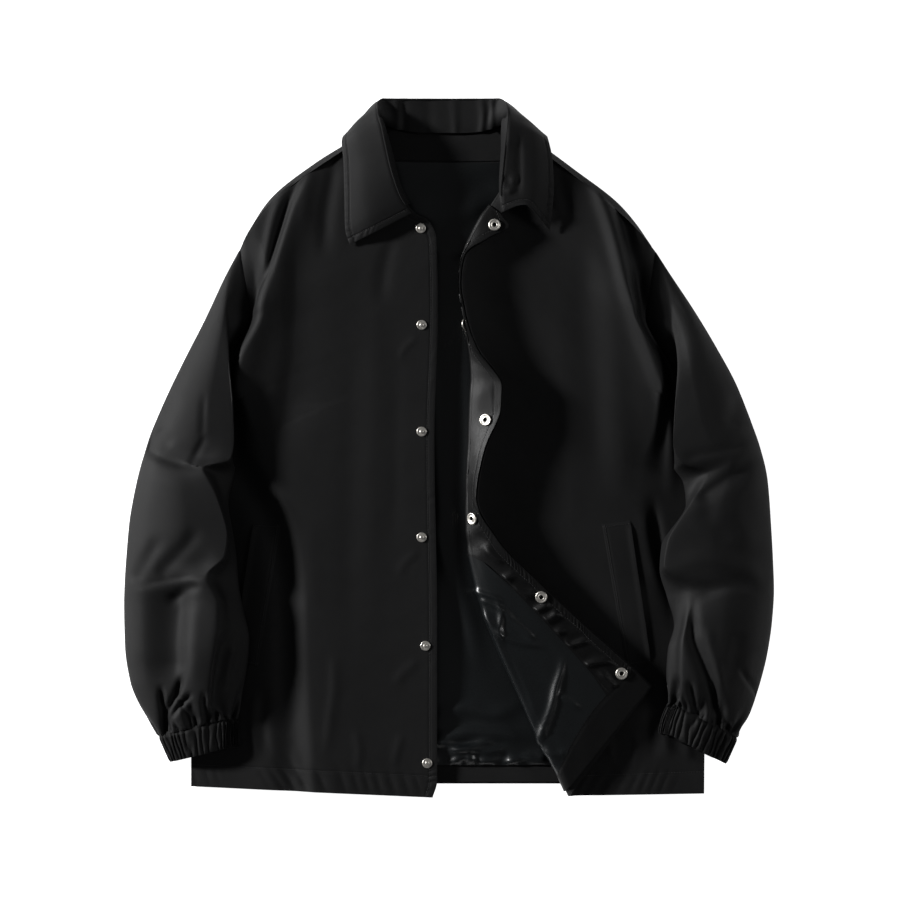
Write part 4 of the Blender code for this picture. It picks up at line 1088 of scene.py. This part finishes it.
lining_base = cut(inside, *LINING_CUT)
run = measure(lining_base.points, 1)
lower = measure(lining_base.points, 0)
fall = np.maximum(creases(lining_base.points, CREASES_LINING), 0.0)
x = lining_base.points[..., 0]
seen = ease((x - OPENING_LEFT) / OPENING_FADE) * ease((OPENING_RIGHT - x) / OPENING_FADE)
waves = 1 + np.sin(run / 3.6 + 2.4 * wander(run / 17, 2))
gather = LINING_GATHER * seen * ease(1 - lower / LINING_GATHER_TOP) * ease(lower / LINING_GATHER_FOOT) * waves
rim = ease(np.minimum(lower, measure(lining_base.points, 0, True)) / LINING_RIM)
slack = LINING_SLACK * (1 + wander(run / 22 + 0.4 * wander(lower / 60, 3), 1))
lining_cloth = raised(lining_base, fall * rim + gather + slack)
back_lining_piece = make("back_lining_cloth", "back_lining", lining_cloth, LINER, SATIN)
neck_piece = make("back_neck_facing_cloth", "back_neck_facing", cut(inside, *NECK_CUT), LINER, SHELL)
hem_piece = make("back_hem_cloth", "back_hem", cut(inside, *HEM_CUT), LINER, SHELL)

# Collar
COLLAR_PUCKER = {"inset": COLLAR_STITCH, "pucker": 0.8, "pitch": 8.0}
ROLL_PINCH, ROLL_PINCH_WIDTH = 1.0, 1.6
leaf_w = spread((0, 0.8, 34), (0.8, 1.0, 16))
leaf_s = spread((0.0, 0.04, 14), (0.04, 0.96, 190), (0.96, 1.0, 14))
leaf_base = lay(collar_leaf, leaf_w, leaf_s, side=-1)
side_gap = measure(leaf_base.points, 1, from_end=True)
end_gap = np.minimum(measure(leaf_base.points, 0), measure(leaf_base.points, 0, from_end=True))
run = measure(leaf_base.points, 0)
on_top = ease((leaf_base.points[..., 2] - 8) / 8)
roll_gap = measure(leaf_base.points, 1)
lift = creases(leaf_base.points, CREASES_COLLAR) * on_top
lift -= ROLL_PINCH * np.exp(-(roll_gap / ROLL_PINCH_WIDTH) ** 2)
lift += (stitched(side_gap, run, seed=6, **COLLAR_PUCKER)
         + stitched(end_gap, roll_gap, seed=8, **COLLAR_PUCKER)) * on_top
leaf_cloth = raised(leaf_base, lift, side=-1)
leaf_cloth.points[..., 2] = np.maximum(leaf_cloth.points[..., 2], 0.0)
leaf_piece = make("collar_leaf_cloth", "collar_leaf", leaf_cloth, CLOTH, SHELL, side=-1,
                  wear=worn_edges(side_gap, end_gap))
stand_base = lay(collar_stand, spread((0.08, 1.0, 24)), spread((0.04, 0.93, 190)), side=-1)
lift = mix(STAND_NECK, STAND_ROLL, stand_base.us)[None, :] + creases(stand_base.points, CREASES_STAND)
stand_cloth = raised(stand_base, lift, side=-1)
stand_piece = make("collar_stand_cloth", "collar_stand", stand_cloth, CLOTH, SHELL, side=-1)

# Facing, lining and turned hem of the turned-back front, laid on its inner side
ROUND_FOLD = 0.975
FACING_EASE = 0.25
HEM_RISE, HEM_WIDER = 0.012, 0.028
HEM_FOOT = 0.997
LINING_UNDER, LINING_HIGHER = 4.0, 0.02
LINING_DEPTH = CLOTH + GAP + LINER + 0.2
FLAP_DEPTH = CLOTH + FLAP_GAP + LINER


def hem_line(u):
    """Upper edge of the turned hem, which widens to the free edge."""
    return 1 - (HEM_RISE + HEM_WIDER * np.clip(u - 1, 0.0, 1.0))


def facing_line(v):
    """Inner edge of the facing."""
    return max(2 - FACING_WIDTH / flap_width(min(v, FACING_HOLD)), FLAP_START)


def facing_start(v):
    """The facing starts round the fold where no lining shows beside it."""
    line = facing_line(v)
    return line - (FLAP_START - ROUND_FOLD) * (1 - ease((line - FLAP_START) / FACING_EASE))


def inner_layer(start_of, stop_of, shares, vs, depth):
    """A layer on the turned front's inner side, above its turned hem and round its fold."""
    points, normals = [], []
    for v in vs:
        u = start_of(v) + (stop_of(v) - start_of(v)) * shares
        drop = (v - vs[0]) / (1 - vs[0])
        place, normal = sample(turned_front, u, vs[0] + (hem_line(u) + HEM_CLEAR - vs[0]) * drop)
        points.append(place - depth * normal)
        normals.append(-normal)
    return Cloth(shares, vs, np.array(points), np.array(normals))


def pushed(cloth, height):
    """Moved out along the kept normals, which stay true where rows crowd together."""
    return Cloth(cloth.us, cloth.vs, cloth.points + height[..., None] * cloth.normals, cloth.normals)


facing_base = inner_layer(facing_start, lambda v: FREE_END, spread((0, 0.7, 30), (0.7, 1.0, 18)),
                          spread((FACING_TOP, 0.78, 150), (0.78, 1.0, 190)), FLAP_DEPTH)
edge_gap = measure(facing_base.points, 1, from_end=True)
inner_gap = measure(facing_base.points, 1)
end_gap = measure(facing_base.points, 0, from_end=True)
run = measure(facing_base.points, 0)
flap_share = ease((facing_base.vs - 0.7) / 0.12)[:, None]
lift = stitched(edge_gap, run, TOPSTITCH, 1.1, 5.0, 9, lean=0.25, even=0.6) * (0.25 + 0.75 * flap_share)
ripple = wander(run / 11 + 0.9 * wander(edge_gap / 9, 2) + 0.8 * wander(run / 31, 7), 3)
folds = creases(facing_base.points, CREASES_FACING) * flap_share + (0.3 + 0.5 * flap_share) * ripple
lift += folds * ease((edge_gap - 0.7 * TOPSTITCH) / 8) * ease(inner_gap / 4)
lift = lift * ease((end_gap - 2) / 6) - 0.6 * np.exp(-(end_gap / 4) ** 2)
facing_cloth = pushed(facing_base, np.maximum(lift, -0.9))
facing_piece = make("front_left_facing_cloth", "front_left_facing", facing_cloth, LINER, FACING,
                    side=-1)
lining_base = inner_layer(lambda v: ROUND_FOLD, lambda v: facing_line(v) + LINING_UNDER / flap_width(v),
                          spread((0, 0.2, 20), (0.2, 1, 64)),
                          spread((LINING_TOP - LINING_HIGHER, 1.0, 120)), LINING_DEPTH)
flap_x, flap_y = lining_base.points[..., 0], lining_base.points[..., 1]
swirl = 0.9 * flap_x + 0.45 * flap_y
wrinkle = 1 + np.sin(swirl / 5.0 + 2.2 * wander(flap_y / 22, 2) + 1.6 * wander(flap_x / 15, 5))
rim = ease(measure(lining_base.points, 1) / 9) * ease((measure(lining_base.points, 1, True) - 2) / 8)
rim *= ease((measure(lining_base.points, 0, True) - 2) / 8)
folds = np.maximum(creases(lining_base.points, CREASES_FLAP), 0.0)
flap_lining = pushed(lining_base, (0.15 * wrinkle + folds) * rim)
flap_lining_piece = make("front_left_lining_cloth", "front_left_lining", flap_lining, LINER, SATIN,
                         side=-1)
hem_shares, hem_drop = spread((0, 1, 80)), spread((0, 1, 16))
hem_u = ROUND_FOLD + (FREE_END - ROUND_FOLD) * hem_shares
hem_v = hem_line(hem_u)[None, :] + (HEM_FOOT - hem_line(hem_u))[None, :] * hem_drop[:, None]
place, normal = sample(turned_front, np.broadcast_to(hem_u, hem_v.shape), hem_v)
flap_hem = Cloth(hem_shares, hem_drop, place - FLAP_DEPTH * normal, -normal)
run = measure(flap_hem.points, 1)
lower = measure(flap_hem.points, 0)
flap_hem = pushed(flap_hem, stitched(lower, run, 2.0, 0.5, 12.0, 4) + 0.4 * wander(run / 17 + lower / 23, 2))
flap_hem_piece = make("front_left_hem_cloth", "front_left_hem", flap_hem, LINER, FACING, side=-1)

# Pocket welts
WELT_START = (0.3, 0.7)
WELT_PROUD, WELT_PROUD_WIDTH, WELT_PROUD_RUN = 1.1, 4, 12
WELT_SINK, WELT_EDGE_DROP, WELT_EDGE_WIDTH = 1.1, 0.6, 1.2
WELT_GROOVE_WIDTH, WELT_THIN = 0.9, 0.7


def welt_base(front, welt):
    """The welt's outline laid on a front."""
    a, b = np.meshgrid(spread((0, 1, 18)), spread((0, 1, 80)))
    top = mix((welt.top_in_x, welt.top_in_y), (welt.top_out_x, welt.top_out_y), a[..., None])
    low = mix((welt.low_in_x, welt.low_in_y), (welt.low_out_x, welt.low_out_y), a[..., None])
    xy = mix(top, low, b[..., None])
    u, v = find(front, xy.reshape(-1, 2), *WELT_START)
    points, normals = sample(front, u.reshape(a.shape), v.reshape(a.shape))
    return Cloth(a[0], b[:, 0], points + (GAP + WELT_CLOTH) * normals, normals)


def welt_piece(name, node, front, welt, side):
    """A flat welt: sewn down on three sides, its opening a little proud."""
    base = welt_base(front, welt)
    far = measure(base.points, 1, from_end=True)
    ends = np.minimum(measure(base.points, 0), measure(base.points, 0, True))
    sewn = np.minimum(measure(base.points, 1), ends)
    rim = WELT_PROUD * np.exp(-(far / WELT_PROUD_WIDTH) ** 2) * ease(sewn / WELT_PROUD_RUN) - WELT_SINK
    rim -= WELT_EDGE_DROP * np.exp(-(sewn / WELT_EDGE_WIDTH) ** 2)
    cloth = pushed(base, rim - GROOVE * np.exp(-((sewn - WELT_STITCH) / WELT_GROOVE_WIDTH) ** 2))
    return make(name, node, cloth, WELT_THIN * WELT_CLOTH, SHELL, side), cloth


right_welt, right_welt_cloth = welt_piece("pocket_welt_right_cloth", "pocket_welt_right", plain_front,
                                          WELT_RIGHT, 1)
left_welt, left_welt_cloth = welt_piece("pocket_welt_left_cloth", "pocket_welt_left", turned_front,
                                        WELT_LEFT, -1)

# Topstitching
front_line = line_down(plain_front, TOPSTITCH)
front_stitches = stitches("front_right_stitches", [
    part_of_line(front_line, 0.28, 0.99), line_across(plain_front, HEM_STITCH)])
lapel_stitches = stitches("front_left_stitches", [
    part_of_line(line_across(turned_front, HEM_STITCH), 0.0, 0.7)])
facing_stitch_line = line_down(facing_cloth, TOPSTITCH)
facing_stitches = stitches("front_left_facing_stitches", [
    part_of_line(facing_stitch_line, 0.0, 0.08), part_of_line(facing_stitch_line, 0.25, 1.0)])
leaf_line = line_down(leaf_cloth, COLLAR_STITCH)
collar_stitches = stitches("collar_stitches", [
    part_of_line(leaf_line, 0.03, 0.36), part_of_line(leaf_line, 0.64, 0.97),
    part_of_line(line_across(leaf_cloth, COLLAR_STITCH), 0.0, 0.9),
    part_of_line(line_across(leaf_cloth, COLLAR_STITCH, False), 0.0, 0.9)])
welt_stitches = stitches("pocket_welt_stitches", [
    line for cloth in (right_welt_cloth, left_welt_cloth)
    for line in (line_down(cloth, WELT_STITCH, False), line_across(cloth, WELT_STITCH),
                 line_across(cloth, WELT_STITCH, False))])

# Snaps: profiles of (radius, height)
STUD_PROFILE = [(0, 2.0), (1.7, 2.0), (2.0, 1.8), (2.0, 1.2), (1.7, 0.9), (2.4, 0.75), (4.2, 0.85),
                (4.9, 0.95), (5.3, 0.75), (5.4, 0.4), (5.4, 0), (0, 0)]
SOCKET_PROFILE = [(2.4, 1.3), (2.8, 1.6), (3.3, 1.5), (3.7, 1.2), (4.6, 1.25), (5.4, 1.75), (6.1, 1.7),
                  (6.5, 1.2), (6.6, 0.6), (6.6, 0), (2.4, 0), (2.4, 1.3)]
for k, (x, y) in enumerate(STUDS):
    u, v = find(plain_front, np.array([[x, y]]), 0.9, 0.5)
    place, up = sample(plain_front, u, v)
    turned(f"stud_{k + 1}", f"snap_stud_{k + 1}", STUD_PROFILE, place[0] + GAP * up[0], up[0])
for k, v in enumerate(SOCKETS):
    u = 2 - min(SOCKET_INSET / flap_width(v), 1.0)
    place, up = sample(turned_front, np.array([u]), np.array([v]))
    depth = CLOTH + 2 * GAP if u < FLAP_START else FLAP_DEPTH + SOCKET_LIFT
    turned(f"socket_{k + 1}", f"snap_socket_{k + 1}", SOCKET_PROFILE, place[0] - depth * up[0], -up[0])

# Floor, light and camera
FLOOR_SIZE, FLOOR_Z = 6.0, -0.0005
KEY_FROM, KEY_SIZE, KEY_POWER = Vector((-0.88, 0.27, 0.315)), 1.0, 1230.0
SIDE_FROM, SIDE_SIZE, SIDE_POWER = Vector((0.9, 0.1, 0.5)), 2.4, 125.0
LIGHT_DISTANCE = 8.0
FILL_STRENGTH = 0.085
CAMERA_HEIGHT = 6.0
VIEW_MIDDLE, VIEW_SIDE = (0.0011, -0.0022), 0.99

mesh = bpy.data.meshes.new("floor")
half = FLOOR_SIZE / 2
corners = [(x * half, y * half, FLOOR_Z) for x, y in ((-1, -1), (1, -1), (1, 1), (-1, 1))]
mesh.from_pydata(corners, [], [(0, 1, 2, 3)])
floor_material, floor_tree, floor_shader = new_material("pale_floor")
mottle = add(floor_tree, "ShaderNodeTexNoise", {"Scale": 3.0, "Detail": 2.0})
paper = add(floor_tree, "ShaderNodeMapRange", {"Value": mottle.outputs["Fac"], "To Min": 0.86, "To Max": 0.9})
floor_tree.links.new(paper.outputs[0], floor_shader.inputs["Base Color"])
floor_shader.inputs["Roughness"].default_value = 0.9
floor_shader.inputs["Specular IOR Level"].default_value = 0.1
floor_shader.inputs["Emission Color"].default_value = (1.0, 1.0, 1.0, 1.0)
floor_shader.inputs["Emission Strength"].default_value = 1.0
mesh.materials.append(floor_material)
floor = bpy.data.objects.new("floor", mesh)
bpy.context.scene.collection.objects.link(floor)

for name, way, size, power in (("key_light", KEY_FROM, KEY_SIZE, KEY_POWER),
                               ("side_light", SIDE_FROM, SIDE_SIZE, SIDE_POWER)):
    light = bpy.data.objects.new(name, bpy.data.lights.new(name, "AREA"))
    light.data.shape = "DISK"
    light.data.size = size
    light.data.energy = power
    light.location = way.normalized() * LIGHT_DISTANCE
    light.rotation_euler = way.to_track_quat("Z", "Y").to_euler()
    bpy.context.scene.collection.objects.link(light)
world = bpy.data.worlds.new("studio")
world.use_nodes = True
world.node_tree.nodes["Background"].inputs["Color"].default_value = (0.95, 0.97, 1.0, 1.0)
world.node_tree.nodes["Background"].inputs["Strength"].default_value = FILL_STRENGTH
bpy.context.scene.world = world
bpy.context.scene.view_settings.view_transform = "Standard"

camera = bpy.data.objects.new("camera", bpy.data.cameras.new("camera"))
camera.data.lens = camera.data.sensor_width * CAMERA_HEIGHT / VIEW_SIDE
camera.location = (*VIEW_MIDDLE, CAMERA_HEIGHT)
bpy.context.scene.collection.objects.link(camera)
bpy.context.scene.camera = camera
